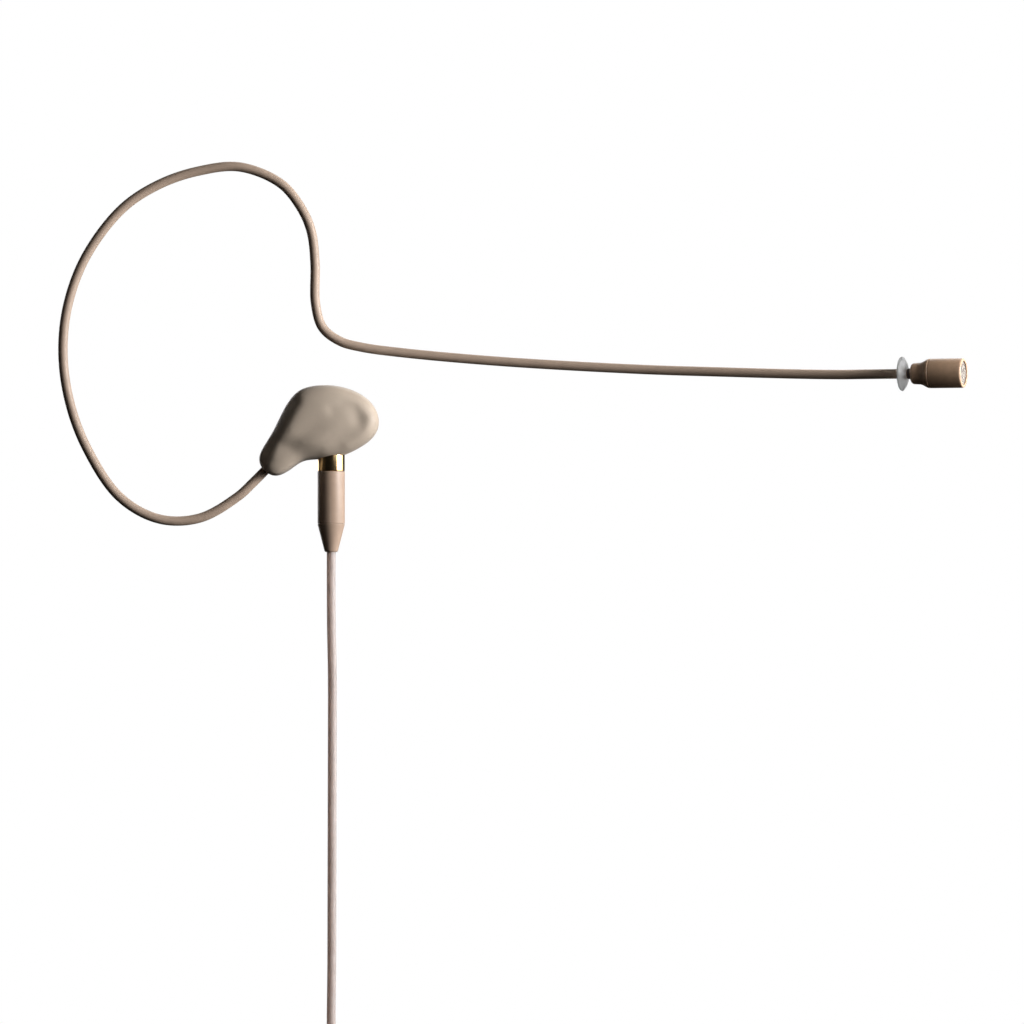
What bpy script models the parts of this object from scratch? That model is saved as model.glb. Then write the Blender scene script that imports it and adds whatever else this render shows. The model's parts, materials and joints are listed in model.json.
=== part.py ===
"""Ear-hook headset microphone, modelled as it is worn on the left ear.

+X points forward to the mouth, +Y to the wearer's left and +Z up. The origin is the
underside of the hook's crown, where the wire rests on the top of the ear.
Every length below is in millimetres, and the objects are built in metres.
"""
import math

import bmesh
import bpy
from mathutils import Matrix, Vector

MM = 0.001

# Formable wire: sheath, springy forming wire and signal lead
SHEATH_RADIUS = 0.875
SHEATH_BORE = 0.62
FORMING_WIRE_RADIUS = 0.26
SIGNAL_LEAD_RADIUS = 0.22
WIRE_SHIFT = 0.30
SHEATH_SIDES = 10
WIRE_SIDES = 6
HINGE_GAP = 0.5

# Capsule axis: forward, and turned in towards the mouth
CAPSULE_YAW = math.radians(-21.5)
CAPSULE_AXIS = Vector((math.cos(CAPSULE_YAW), math.sin(CAPSULE_YAW), 0.0))
CAPSULE_REAR = Vector((124.9, -21.0, -38.1))
CAPSULE_RADIUS = 2.65
CAPSULE_LENGTH = 9.3
NECK_RADIUS = 1.92
DISC_RADIUS = 3.0
DISC_BACK = 2.2
WIRE_END_IN_NECK = 2.2
CAP_BORE = 2.38
APERTURE_RADIUS = 1.85
CARTRIDGE_RADIUS = 1.68
CARTRIDGE_BORE = 1.50
CARTRIDGE_PART_RADIUS = 1.40

# Route of the wire, from its end in the earpiece, behind the ear, over the crown and forward
EAR_LOOP = (
    (10.6, 0.0, -51.6), (7.0, 0.0, -55.2), (4.4, 0.0, -57.8), (1.9, -0.1, -60.1),
    (-5.1, -0.6, -64.1), (-12.6, -1.1, -64.3), (-19.9, -1.6, -60.2), (-26.1, -2.0, -50.8),
    (-29.2, -2.1, -42.1), (-30.3, -2.0, -33.4), (-29.4, -1.7, -24.7), (-26.1, -1.3, -15.8),
    (-19.5, -0.8, -7.0), (-12.6, -0.3, -2.4), (-5.2, 0.0, 0.1), (2.2, 0.0, 0.8),
    (9.7, 0.0, -2.2), (13.5, 0.0, -6.7), (15.4, 0.0, -11.1), (16.1, 0.0, -16.9),
    (16.2, 0.0, -24.5), (17.5, 0.0, -28.9), (20.7, 0.0, -31.4),
)
BOOM = (
    (24.6, 0.0, -32.5), (31.8, -0.1, -33.5), (50.3, -1.4, -35.2), (76.0, -5.5, -36.8),
    (90.6, -9.1, -37.4), (104.0, -13.1, -37.9),
)
STRAIGHT_END = (14.0, 9.0, 4.0, -WIRE_END_IN_NECK)

# Hinges that stand in for the wire's bending: over the ear, at the elbow, at the boom's root
# and behind the capsule
CROWN_HINGE = Vector((-8.9, 0.0, -0.8))
ELBOW_HINGE = Vector((21.6, 0.0, -31.6))
SWING_HINGE = Vector((40.0, 0.0, -34.2))
TIP_HINGE_BACK = 17.0

# Earpiece: outline and spine in the X-Z plane, half thickness along the spine
EARPIECE_OUTLINE = (
    (5.7, -53.2), (8.4, -48.0), (11.5, -42.2), (13.6, -40.3), (18.3, -39.5), (23.4, -40.6),
    (26.8, -43.1), (28.0, -46.5), (26.8, -49.3), (21.8, -52.4), (17.5, -53.2), (13.9, -53.6),
    (10.6, -55.8), (8.7, -56.4), (6.7, -55.4),
)
EARPIECE_SPINE = ((8.4, -53.7, 2.6), (12.5, -49.0, 3.3), (17.5, -46.2, 4.7), (23.2, -46.2, 4.3))
CORE_OUTLINE = (
    (11.0, -49.0), (12.6, -45.2), (14.8, -42.4), (18.5, -41.3), (22.8, -42.0), (25.7, -44.4),
    (26.2, -46.6), (24.6, -48.8), (20.5, -50.4), (15.5, -50.9), (12.4, -50.8),
)
CORE_SPINE = ((13.6, -48.4, 2.1), (17.5, -46.2, 3.3), (22.4, -46.0, 3.0))
CORE_CLEARANCE = 0.3
CORE_SPLIT = 0.15
PILLOW_TOP_LEAN = math.radians(78.0)
PILLOW_FULLNESS = 0.75
TAIL_AXIS = Vector((1.0, 0.0, 1.0)).normalized()
TAIL_ENTRY = Vector((7.0, 0.0, -55.2))
FERRULE_RADIUS = 1.3
FERRULE_BORE = 1.0
FERRULE_LENGTH = 4.4
FERRULE_FROM_ENTRY = 1.3
WIRE_HOLE_RADIUS = 1.08
FERRULE_HOLE_RADIUS = 1.6
SOCKET_HOLE_RADIUS = 2.66
BARREL_HOLE_RADIUS = 2.12
LEAD_HOLE_RADIUS = 0.6
EARPIECE_LEAD_RADIUS = 0.3

# Detachable connector, on a vertical axis below the earpiece
CONNECTOR_X = 19.1
COLLAR_TOP = -51.3
COLLAR_BOTTOM = -55.45
NUT_TOP = -55.57
NUT_BOTTOM = -65.05
RELIEF_TOP = -65.17
RELIEF_BOTTOM = -70.4
NUT_RADIUS = 2.52
BARREL_RADIUS = 1.85
BARREL_BOTTOM = -59.5
NUT_THREAD_BORE = 2.05
NUT_LIP_BORE = 1.62
NUT_LIP_TOP = -61.2
PLUG_FLANGE_RADIUS = 1.82
PLUG_SLEEVE_RADIUS = 1.42
PLUG_BORE = 0.95

# Cable: 1.5 m in all, hanging, and coiled where it isn't needed
CABLE_RADIUS = 0.825
CABLE_ROUTE = (
    (19.1, 0.0, -70.7), (19.1, 0.0, -76.5), (19.14, 0.0, -84.0), (19.3, 0.1, -93.0),
    (19.3, 0.2, -103.0), (19.27, 0.2, -116.0), (19.24, 0.1, -132.0), (19.2, 0.0, -148.0),
    (19.1, 0.0, -161.3),
)
COIL_TOP = -161.6
COIL_MEAN_RADIUS = 12.0
COIL_HALF_HEIGHT = 3.45
COIL_HALF_WIDTH = 4.3
COIL_CENTRE_Z = COIL_TOP - COIL_MEAN_RADIUS - COIL_HALF_HEIGHT
COIL_BOTTOM = COIL_CENTRE_Z - COIL_MEAN_RADIUS - COIL_HALF_HEIGHT
TIE_ANGLE = math.radians(22.0)
TIE_GAP = 0.3
TIE_THICKNESS = 0.5
TIE_WIDTH = 2.5
TAIL_TOP = COIL_BOTTOM - 0.3
BOOT_TOP = COIL_BOTTOM - 12.3

# Far-end connector, hanging on the cable with its open end down
SHELL_TOP = BOOT_TOP - 13.3
SHELL_LENGTH = 26.7
SHELL_BOTTOM = SHELL_TOP - SHELL_LENGTH
SHELL_RADIUS = 4.9
SHELL_BORE = 4.15
INSERT_RADIUS = 3.9
CONTACT_CIRCLE = 2.0
LATCH_Z = SHELL_TOP - 8.5
LATCH_SIZE = Vector((3.0, 1.5, 6.0))
LATCH_Y = -4.85


def clear_scene():
    for leftover in list(bpy.data.objects):
        bpy.data.objects.remove(leftover, do_unlink=True)


# ---------------------------------------------------------------- materials
FINISHES = {
    "cocoa_sheath": ((0.34, 0.25, 0.17), 0.45, 0.0),
    "spring_steel": ((0.55, 0.55, 0.57), 0.30, 1.0),
    "lead_insulation": ((0.60, 0.12, 0.08), 0.50, 0.0),
    "cocoa_metal": ((0.28, 0.19, 0.13), 0.40, 0.3),
    "silver_mesh": ((0.52, 0.48, 0.44), 0.45, 0.8),
    "rubber_seal": ((0.03, 0.03, 0.03), 0.80, 0.0),
    "nickel": ((0.60, 0.58, 0.54), 0.25, 1.0),
    "film": ((0.70, 0.62, 0.35), 0.20, 0.6),
    "insulator": ((0.80, 0.78, 0.72), 0.55, 0.0),
    "circuit_board": ((0.04, 0.20, 0.09), 0.50, 0.0),
    "chip_black": ((0.02, 0.02, 0.02), 0.45, 0.0),
    "clear_silicone": ((0.50, 0.50, 0.50), 0.35, 0.0),
    "taupe_silicone": ((0.44, 0.36, 0.28), 0.60, 0.0),
    "core_nylon": ((0.10, 0.09, 0.08), 0.60, 0.0),
    "gold": ((0.90, 0.62, 0.28), 0.12, 1.0),
    "beige_paint": ((0.55, 0.40, 0.31), 0.40, 0.0),
    "cable_jacket": ((0.36, 0.30, 0.27), 0.55, 0.0),
    "tie_black": ((0.03, 0.03, 0.03), 0.60, 0.0),
    "satin_black": ((0.04, 0.04, 0.045), 0.40, 0.5),
    "boot_rubber": ((0.05, 0.05, 0.05), 0.75, 0.0),
}


def finish(name):
    """The named finish as a Principled BSDF material, made once."""
    material = bpy.data.materials.get(name)
    if material is None:
        colour, roughness, metallic = FINISHES[name]
        material = bpy.data.materials.new(name)
        material.use_nodes = True
        shader = material.node_tree.nodes["Principled BSDF"]
        shader.inputs["Base Color"].default_value = (*colour, 1.0)
        shader.inputs["Roughness"].default_value = roughness
        shader.inputs["Metallic"].default_value = metallic
    return material


# ---------------------------------------------------------------- bodies and objects
PIVOTS = {}


def add_pivot(body, at, parent=None):
    """An empty on a body's joint axis. Every piece of the body is parented to it."""
    empty = bpy.data.objects.new(body + "_pivot", None)
    bpy.context.collection.objects.link(empty)
    start = Vector((0.0, 0.0, 0.0))
    if parent:
        empty.parent, start = PIVOTS[parent]
    empty.location = (Vector(at) - start) * MM
    PIVOTS[body] = (empty, Vector(at))


def add_piece(name, bm, body, colour, at=(0.0, 0.0, 0.0), turn=(0.0, 0.0, 0.0)):
    """Turn a bmesh in millimetres, placed at a point and turned, into a named object of a body."""
    bmesh.ops.recalc_face_normals(bm, faces=bm.faces)
    bm.transform(Matrix.Scale(MM, 4))
    mesh = bpy.data.meshes.new(name)
    bm.to_mesh(mesh)
    bm.free()
    mesh.materials.append(finish(colour))
    mesh.shade_smooth()
    mesh.set_sharp_from_angle(angle=math.radians(35.0))
    piece = bpy.data.objects.new(name, mesh)
    bpy.context.collection.objects.link(piece)
    empty, start = PIVOTS[body]
    piece.parent = empty
    piece.location = (Vector(at) - start) * MM
    piece.rotation_euler = turn
    return piece


def cut(piece, cutter):
    """Cut one object out of another, and leave the cutter as a wire guide."""
    cutter.hide_render = True
    cutter.display_type = "WIRE"
    boolean = piece.modifiers.new("cut_" + cutter.name, "BOOLEAN")
    boolean.operation = "DIFFERENCE"
    boolean.solver = "EXACT"
    boolean.object = cutter


# ---------------------------------------------------------------- shapes
def turned(profile, sides=20):
    """A turned body about Z from (radius, height) points, closed on itself or on the axis."""
    bm = bmesh.new()
    corners = [bm.verts.new((radius, 0.0, height)) for radius, height in profile]
    edges = [bm.edges.new(pair) for pair in zip(corners, corners[1:])]
    on_axis = profile[0][0] == 0.0 and profile[-1][0] == 0.0
    if not on_axis:
        edges.append(bm.edges.new((corners[-1], corners[0])))
    bmesh.ops.spin(
        bm, geom=corners + edges, cent=(0, 0, 0), axis=(0, 0, 1),
        angle=math.tau, steps=sides, use_merge=True,
    )
    bmesh.ops.remove_doubles(bm, verts=bm.verts, dist=1e-4)
    return bm


def pipe(outer, inner, low, high, sides=20):
    """A plain turned tube."""
    return turned(((inner, low), (outer, low), (outer, high), (inner, high)), sides)


def plug(radius, low, high, sides=20):
    """A plain turned cylinder."""
    return turned(((0.0, low), (radius, low), (radius, high), (0.0, high)), sides)


def block(size):
    bm = bmesh.new()
    bmesh.ops.create_cube(bm, size=1.0)
    bmesh.ops.scale(bm, vec=size, verts=bm.verts)
    return bm


def smooth_curve(points, closed=False, steps=12):
    """Dense points on a centripetal Catmull-Rom curve through every given point."""
    points = [Vector(p) for p in points]
    if closed:
        guide = [points[-1]] + points + points[:2]
    else:
        guide = [2 * points[0] - points[1]] + points + [2 * points[-1] - points[-2]]
    curve = []
    for before, start, end, after in zip(guide, guide[1:], guide[2:], guide[3:]):
        knots = [0.0]
        for a, b in ((before, start), (start, end), (end, after)):
            knots.append(knots[-1] + math.sqrt((b - a).length))
        for step in range(steps):
            at = knots[1] + (knots[2] - knots[1]) * step / steps
            curve.append(blend_span((before, start, end, after), knots, at))
    if not closed:
        curve.append(points[-1])
    return curve


def blend_span(corners, knots, at):
    """One point of a Catmull-Rom span, by its pyramid of straight blends."""
    before, start, end, after = corners
    first = mix_at(before, start, knots[0], knots[1], at)
    middle = mix_at(start, end, knots[1], knots[2], at)
    last = mix_at(end, after, knots[2], knots[3], at)
    lower = mix_at(first, middle, knots[0], knots[2], at)
    upper = mix_at(middle, last, knots[1], knots[3], at)
    return mix_at(lower, upper, knots[1], knots[2], at)


def mix_at(a, b, low, high, at):
    return a * ((high - at) / (high - low)) + b * ((at - low) / (high - low))


def distances(curve):
    """Distance along a curve at each of its points."""
    total = [0.0]
    for a, b in zip(curve, curve[1:]):
        total.append(total[-1] + (b - a).length)
    return total


def point_at(curve, along, where):
    """The point a given distance along a curve."""
    for i in range(1, len(curve)):
        if along[i] >= where:
            share = (where - along[i - 1]) / (along[i] - along[i - 1])
            return curve[i - 1].lerp(curve[i], share)
    return curve[-1].copy()


def stretch(curve, start, end, step):
    """Evenly spaced points of a curve between two distances along it."""
    along = distances(curve)
    count = max(2, round((end - start) / step))
    return [point_at(curve, along, start + (end - start) * i / count) for i in range(count + 1)]


def nearest_distance(curve, target):
    """How far along a curve its point nearest to the target is."""
    along = distances(curve)
    nearest = min(range(len(curve)), key=lambda i: (curve[i] - target).length)
    return along[nearest]


def route_frames(route):
    """Point, sideways and upward directions at each point of a route, carried along untwisted."""
    frames = []
    side = Vector((0.0, 1.0, 0.0))
    for i, point in enumerate(route):
        ahead = route[min(i + 1, len(route) - 1)] - route[max(i - 1, 0)]
        ahead.normalize()
        side = (side - ahead * side.dot(ahead)).normalized()
        frames.append((point, side, ahead.cross(side)))
    return frames


def swept(route, radius, sides, bore=0.0, shift=0.0, phase=0.5):
    """A round bar, or a pipe if it has a bore, along a route."""
    bm = bmesh.new()
    frames = route_frames(route)
    outer = [add_ring(bm, frame, radius, sides, shift, phase) for frame in frames]
    join_rings(bm, outer)
    if bore:
        inner = [add_ring(bm, frame, bore, sides, shift, phase) for frame in frames]
        join_rings(bm, inner)
        join_rings(bm, (outer[0], inner[0]))
        join_rings(bm, (outer[-1], inner[-1]))
    else:
        bm.faces.new(outer[0])
        bm.faces.new(outer[-1])
    return bm


def add_ring(bm, frame, radius, sides, shift, phase):
    point, side, up = frame
    ring = []
    for i in range(sides):
        angle = math.tau * (i + phase) / sides
        offset = side * (shift + radius * math.cos(angle)) + up * (radius * math.sin(angle))
        ring.append(bm.verts.new(point + offset))
    return ring


def join_rings(bm, rings):
    """Quads between each pair of neighbouring rings of equal size."""
    for lower, upper in zip(rings, rings[1:]):
        for i in range(len(lower)):
            j = (i + 1) % len(lower)
            bm.faces.new((lower[i], lower[j], upper[j], upper[i]))


def nearest_on_spine(spine, x, z):
    """The spine's point nearest to (x, z), with its half thickness."""
    best = None
    for a, b in zip(spine, spine[1:]):
        run, rise = b[0] - a[0], b[1] - a[1]
        share = ((x - a[0]) * run + (z - a[1]) * rise) / (run * run + rise * rise)
        share = min(1.0, max(0.0, share))
        found = [p + (q - p) * share for p, q in zip(a, b)]
        gap = math.hypot(x - found[0], z - found[1])
        if best is None or gap < best[0]:
            best = (gap, found)
    return best[1]


def pillow(outline, spine, around, tiers, inset=0.0, half=0):
    """A domed body: the outline in the X-Z plane, swelling along Y about the spine.

    half is 0 for the whole body, or +1 or -1 for the part beyond the split plane on that side.
    """
    flat = [(x, 0.0, z) for x, z in outline]
    curve = smooth_curve(flat, closed=True)
    curve.append(curve[0].copy())
    edge = stretch(curve, 0.0, distances(curve)[-1], distances(curve)[-1] / around)[:-1]
    first = 0 if half else -tiers
    bm = bmesh.new()
    rings = []
    for tier in range(first, tiers + 1):
        lean = PILLOW_TOP_LEAN * tier / tiers
        ring = []
        for corner in edge:
            x, z, thickness = nearest_on_spine(spine, corner.x, corner.z)
            reach = Vector((corner.x - x, 0.0, corner.z - z))
            reach *= (reach.length - inset) / reach.length * math.cos(lean) ** PILLOW_FULLNESS
            rise = (thickness - inset) * math.sin(lean) / math.sin(PILLOW_TOP_LEAN)
            if half:
                rise = half * (CORE_SPLIT + (thickness - inset - CORE_SPLIT) * math.sin(lean))
            ring.append(bm.verts.new((x + reach.x, rise, z + reach.z)))
        rings.append(ring)
    join_rings(bm, rings)
    caps = [bm.faces.new(rings[0]), bm.faces.new(rings[-1])]
    bmesh.ops.triangulate(bm, faces=caps)
    return bm


def rod(start, end, radius, sides=16):
    """A straight round cutter between two points."""
    return swept([Vector(start), (Vector(start) + Vector(end)) / 2, Vector(end)], radius, sides)


# ---------------------------------------------------------------- the formable wire
def whole_route():
    end = [CAPSULE_REAR - CAPSULE_AXIS * back for back in STRAIGHT_END]
    return smooth_curve(list(EAR_LOOP) + list(BOOM) + end)


def hinge_points():
    """The route's own points at its four hinges."""
    curve = whole_route()
    along = distances(curve)
    tip = CAPSULE_REAR - CAPSULE_AXIS * TIP_HINGE_BACK
    targets = (CROWN_HINGE, ELBOW_HINGE, SWING_HINGE, tip)
    return [point_at(curve, along, nearest_distance(curve, target)) for target in targets]


def build_wire():
    """Five stretches of the wire, each with its sheath, forming wire and signal lead."""
    curve = whole_route()
    ends = [0.0] + [nearest_distance(curve, point) for point in hinge_points()]
    ends.append(distances(curve)[-1])
    stretches = (
        ("hook_rear", 3.4), ("hook_front", 2.6), ("boom_root", 3.0), ("boom_mid", 6.0), ("boom_tip", 5.0),
    )
    for i, (body, step) in enumerate(stretches):
        start = ends[i] + (HINGE_GAP / 2 if i > 0 else 0.0)
        end = ends[i + 1] - (HINGE_GAP / 2 if i < len(stretches) - 1 else 0.0)
        route = stretch(curve, start, end, step)
        sheath = swept(route, SHEATH_RADIUS, SHEATH_SIDES, bore=SHEATH_BORE)
        add_piece(body + "_sheath", sheath, body, "cocoa_sheath")
        forming = swept(route, FORMING_WIRE_RADIUS, WIRE_SIDES, shift=WIRE_SHIFT)
        add_piece(body + "_forming_wire", forming, body, "spring_steel")
        lead = swept(route, SIGNAL_LEAD_RADIUS, WIRE_SIDES, shift=-WIRE_SHIFT)
        add_piece(body + "_signal_lead", lead, body, "lead_insulation")


# ---------------------------------------------------------------- capsule
def add_capsule_piece(name, bm, colour, body="boom_tip", back=0.0):
    """A turned piece whose Z axis lies along the capsule axis, from the neck's rear face."""
    at = CAPSULE_REAR - CAPSULE_AXIS * back
    return add_piece(name, bm, body, colour, at=at, turn=(0.0, math.pi / 2, CAPSULE_YAW))


def build_capsule_shell():
    housing = (
        (1.05, 0.0), (1.50, 0.0), (1.78, 0.12), (NECK_RADIUS, 0.40), (1.95, 1.05),
        (2.03, 1.50), (2.28, 2.05), (2.55, 2.55), (CAPSULE_RADIUS, 2.95), (CAPSULE_RADIUS, 3.05),
        (2.20, 3.05), (2.20, 3.95), (1.98, 3.95), (1.98, 4.65), (2.20, 4.65), (2.20, 8.30),
        (1.80, 8.30), (1.80, 2.85), (1.05, 2.85),
    )
    add_capsule_piece("capsule_housing", turned(housing, 24), "cocoa_metal")
    add_capsule_piece("cap_seal", pipe(2.28, 2.03, 4.05, 4.55, 24), "rubber_seal")
    collar = ((0.98, -0.50), (1.08, -0.50), (1.32, -0.10), (0.98, -0.10))
    add_capsule_piece("neck_collar", turned(collar, 16), "rubber_seal")
    cap = (
        (CAP_BORE, 3.17), (CAPSULE_RADIUS, 3.17), (CAPSULE_RADIUS, 9.08), (2.58, 9.22),
        (2.42, CAPSULE_LENGTH), (APERTURE_RADIUS, CAPSULE_LENGTH), (APERTURE_RADIUS, 9.0), (CAP_BORE, 9.0),
    )
    add_capsule_piece("grille_cap", turned(cap, 24), "cocoa_metal", "cap")
    add_capsule_piece("grille_mesh", plug(2.25, 8.62, 8.90, 24), "silver_mesh", "cap")


def build_cartridge():
    can = (
        (CARTRIDGE_BORE, 3.20), (CARTRIDGE_RADIUS, 3.20), (CARTRIDGE_RADIUS, 8.00), (0.50, 8.00),
        (0.50, 7.82), (CARTRIDGE_BORE, 7.82),
    )
    add_capsule_piece("cartridge_can", turned(can, 20), "nickel")
    add_capsule_piece("diaphragm_ring", pipe(CARTRIDGE_PART_RADIUS, 1.10, 7.48, 7.68), "nickel")
    add_capsule_piece("diaphragm", plug(CARTRIDGE_PART_RADIUS, 7.32, 7.38), "film")
    add_capsule_piece("spacer_ring", pipe(CARTRIDGE_PART_RADIUS, 1.15, 7.10, 7.22), "insulator")
    add_capsule_piece("backplate", pipe(CARTRIDGE_PART_RADIUS, 0.20, 6.72, 7.00), "nickel")
    add_capsule_piece("backplate_holder", pipe(CARTRIDGE_PART_RADIUS, 1.15, 4.60, 6.60), "insulator")
    add_capsule_piece("circuit_board", plug(CARTRIDGE_PART_RADIUS, 4.05, 4.45), "circuit_board")
    chip = block((0.9, 0.7, 0.5))
    bmesh.ops.translate(chip, vec=(0.0, 0.0, 4.85), verts=chip.verts)
    add_capsule_piece("transistor_chip", chip, "chip_black")


def build_disc():
    lens = ((0.98, -0.30), (1.5, -0.27), (DISC_RADIUS - 0.15, -0.12), (DISC_RADIUS, 0.0),
            (DISC_RADIUS - 0.15, 0.12), (1.5, 0.27), (0.98, 0.30))
    add_capsule_piece("moisture_disc", turned(lens, 28), "clear_silicone", "disc", back=DISC_BACK)


# ---------------------------------------------------------------- earpiece
LEAD_ROUTE = (
    (11.1, 0.0, -51.1), (13.5, 0.0, -48.6), (16.0, 0.0, -46.6), (17.9, 0.0, -45.9),
    (18.9, 0.0, -46.3), (19.1, 0.0, -47.0),
)


def build_earpiece():
    body = "hook_rear"
    skin = add_piece("earpiece_skin", pillow(EARPIECE_OUTLINE, EARPIECE_SPINE, 32, 4), body, "taupe_silicone")
    core = [
        add_piece(name, pillow(CORE_OUTLINE, CORE_SPINE, 20, 3, CORE_CLEARANCE, half), body, "core_nylon")
        for name, half in (("core_half_left", 1), ("core_half_right", -1))
    ]
    cavity = add_piece("cavity_cutter", pillow(CORE_OUTLINE, CORE_SPINE, 24, 4), body, "core_nylon")
    wire_hole = rod(TAIL_ENTRY - TAIL_AXIS * 5.0, TAIL_ENTRY + TAIL_AXIS * 2.0, WIRE_HOLE_RADIUS)
    ferrule_hole = rod(TAIL_ENTRY + TAIL_AXIS * 1.0, TAIL_ENTRY + TAIL_AXIS * 7.2, FERRULE_HOLE_RADIUS)
    socket_hole = rod((CONNECTOR_X, 0.0, -58.0), (CONNECTOR_X, 0.0, -49.4), SOCKET_HOLE_RADIUS, 24)
    barrel_hole = rod((CONNECTOR_X, 0.0, -58.0), (CONNECTOR_X, 0.0, -46.4), BARREL_HOLE_RADIUS)
    lead_path = [Vector(LEAD_ROUTE[0]) - TAIL_AXIS * 2.0] + [Vector(p) for p in LEAD_ROUTE]
    lead_hole = swept(lead_path, LEAD_HOLE_RADIUS, 8)
    cut(skin, cavity)
    cut(skin, add_piece("wire_hole_cutter", wire_hole, body, "core_nylon"))
    cut(skin, add_piece("socket_hole_cutter", socket_hole, body, "core_nylon"))
    shared = [add_piece("ferrule_hole_cutter", ferrule_hole, body, "core_nylon")]
    cut(skin, shared[0])
    shared.append(add_piece("barrel_hole_cutter", barrel_hole, body, "core_nylon"))
    shared.append(add_piece("lead_hole_cutter", lead_hole, body, "core_nylon"))
    for half in core:
        for cutter in shared:
            cut(half, cutter)
    ferrule_start = TAIL_ENTRY + TAIL_AXIS * FERRULE_FROM_ENTRY
    ferrule_line = [ferrule_start + TAIL_AXIS * FERRULE_LENGTH * share for share in (0.0, 0.5, 1.0)]
    ferrule = swept(ferrule_line, FERRULE_RADIUS, 14, bore=FERRULE_BORE)
    add_piece("wire_ferrule", ferrule, body, "nickel")
    lead = swept([Vector(p) for p in LEAD_ROUTE], EARPIECE_LEAD_RADIUS, 6)
    add_piece("earpiece_lead", lead, body, "lead_insulation")


def build_socket():
    body = "hook_rear"
    at = (CONNECTOR_X, 0.0, 0.0)
    collar = (
        (2.02, COLLAR_BOTTOM), (2.44, COLLAR_BOTTOM), (2.50, COLLAR_BOTTOM + 0.08),
        (2.50, COLLAR_TOP), (2.02, COLLAR_TOP),
    )
    add_piece("gold_collar", turned(collar, 24), body, "gold", at)
    add_piece("socket_barrel", pipe(BARREL_RADIUS, 1.35, BARREL_BOTTOM, -46.9), body, "nickel", at)
    add_piece("socket_insulator", pipe(1.2, 0.58, -57.5, -48.4, 16), body, "insulator", at)
    add_piece("socket_contact", pipe(0.46, 0.30, -57.0, -47.35, 12), body, "gold", at)


# ---------------------------------------------------------------- cable plug
def build_cable_plug():
    at = (CONNECTOR_X, 0.0, 0.0)
    nut = (
        (NUT_THREAD_BORE, NUT_TOP), (NUT_RADIUS - 0.06, NUT_TOP), (NUT_RADIUS, NUT_TOP - 0.08),
        (NUT_RADIUS, NUT_BOTTOM), (NUT_LIP_BORE, NUT_BOTTOM), (NUT_LIP_BORE, NUT_LIP_TOP),
        (NUT_THREAD_BORE, NUT_LIP_TOP),
    )
    add_piece("coupling_nut", turned(nut, 24), "nut", "beige_paint", at)
    plug_body = (
        (PLUG_BORE, -59.85), (PLUG_FLANGE_RADIUS, -59.85), (PLUG_FLANGE_RADIUS, -60.85),
        (PLUG_SLEEVE_RADIUS, -60.85), (PLUG_SLEEVE_RADIUS, -65.5), (PLUG_BORE, -65.5),
    )
    add_piece("plug_body", turned(plug_body, 16), "plug", "nickel", at)
    add_piece("plug_insulator", pipe(0.80, 0.32, -64.6, -60.1, 12), "plug", "insulator", at)
    add_piece("plug_pin", plug(0.19, -66.2, -53.2, 8), "plug", "gold", at)
    add_piece("crimp_ferrule", pipe(1.20, 0.70, -67.4, -65.8, 16), "plug", "nickel", at)
    relief = (
        (0.50, RELIEF_BOTTOM), (1.08, RELIEF_BOTTOM), (1.25, RELIEF_BOTTOM + 0.2),
        (NUT_RADIUS, RELIEF_TOP - 0.1), (NUT_RADIUS - 0.04, RELIEF_TOP), (1.95, RELIEF_TOP),
        (1.05, RELIEF_BOTTOM + 1.3), (0.50, RELIEF_BOTTOM + 1.3),
    )
    add_piece("strain_relief", turned(relief, 24), "plug", "beige_paint", at)


# ---------------------------------------------------------------- cable
def add_cable(name, points, spacing):
    """A free stretch of the cable: a bevelled curve read from a smooth route."""
    curve = smooth_curve(points)
    length = distances(curve)[-1]
    data = bpy.data.curves.new(name, "CURVE")
    data.dimensions = "3D"
    data.bevel_depth = CABLE_RADIUS * MM
    data.bevel_resolution = 2
    data.use_fill_caps = True
    data.materials.append(finish("cable_jacket"))
    spline = data.splines.new("POLY")
    samples = stretch(curve, 0.0, length, spacing)
    spline.points.add(len(samples) - 1)
    empty, start = PIVOTS["plug"]
    for knot, sample in zip(spline.points, samples):
        knot.co = (*((sample - start) * MM), 1.0)
    cable = bpy.data.objects.new(name, data)
    bpy.context.collection.objects.link(cable)
    cable.parent = empty


def rounded_box(half_width, half_height, corner, steps=3):
    """Corner points of a rounded rectangle, counter-clockwise."""
    points = []
    for quarter in range(4):
        sign_x = (1, -1, -1, 1)[quarter]
        sign_y = (1, 1, -1, -1)[quarter]
        for step in range(steps + 1):
            angle = math.pi / 2 * (quarter + step / steps)
            x = sign_x * (half_width - corner) + corner * math.cos(angle)
            y = sign_y * (half_height - corner) + corner * math.sin(angle)
            points.append((x, y))
    return points


def build_cable():
    add_cable("cable_lead", CABLE_ROUTE, 4.0)
    tail = [(CONNECTOR_X, 0.0, height) for height in (TAIL_TOP, TAIL_TOP - 6.0, BOOT_TOP + 0.3)]
    add_cable("cable_tail", tail, 4.0)
    centre = (CONNECTOR_X, 0.0, COIL_CENTRE_Z)
    section = rounded_box(COIL_HALF_HEIGHT, COIL_HALF_WIDTH, 1.4)
    ring = turned([(COIL_MEAN_RADIUS + x, y) for x, y in section], 32)
    add_piece("cable_coil", ring, "plug", "cable_jacket", centre, (math.pi / 2, 0.0, 0.0))
    for name, angle in (("tie_top", TIE_ANGLE), ("tie_bottom", math.pi + TIE_ANGLE)):
        add_piece(name, tie_band(), "plug", "tie_black", centre, (0.0, -angle, 0.0))


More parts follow.
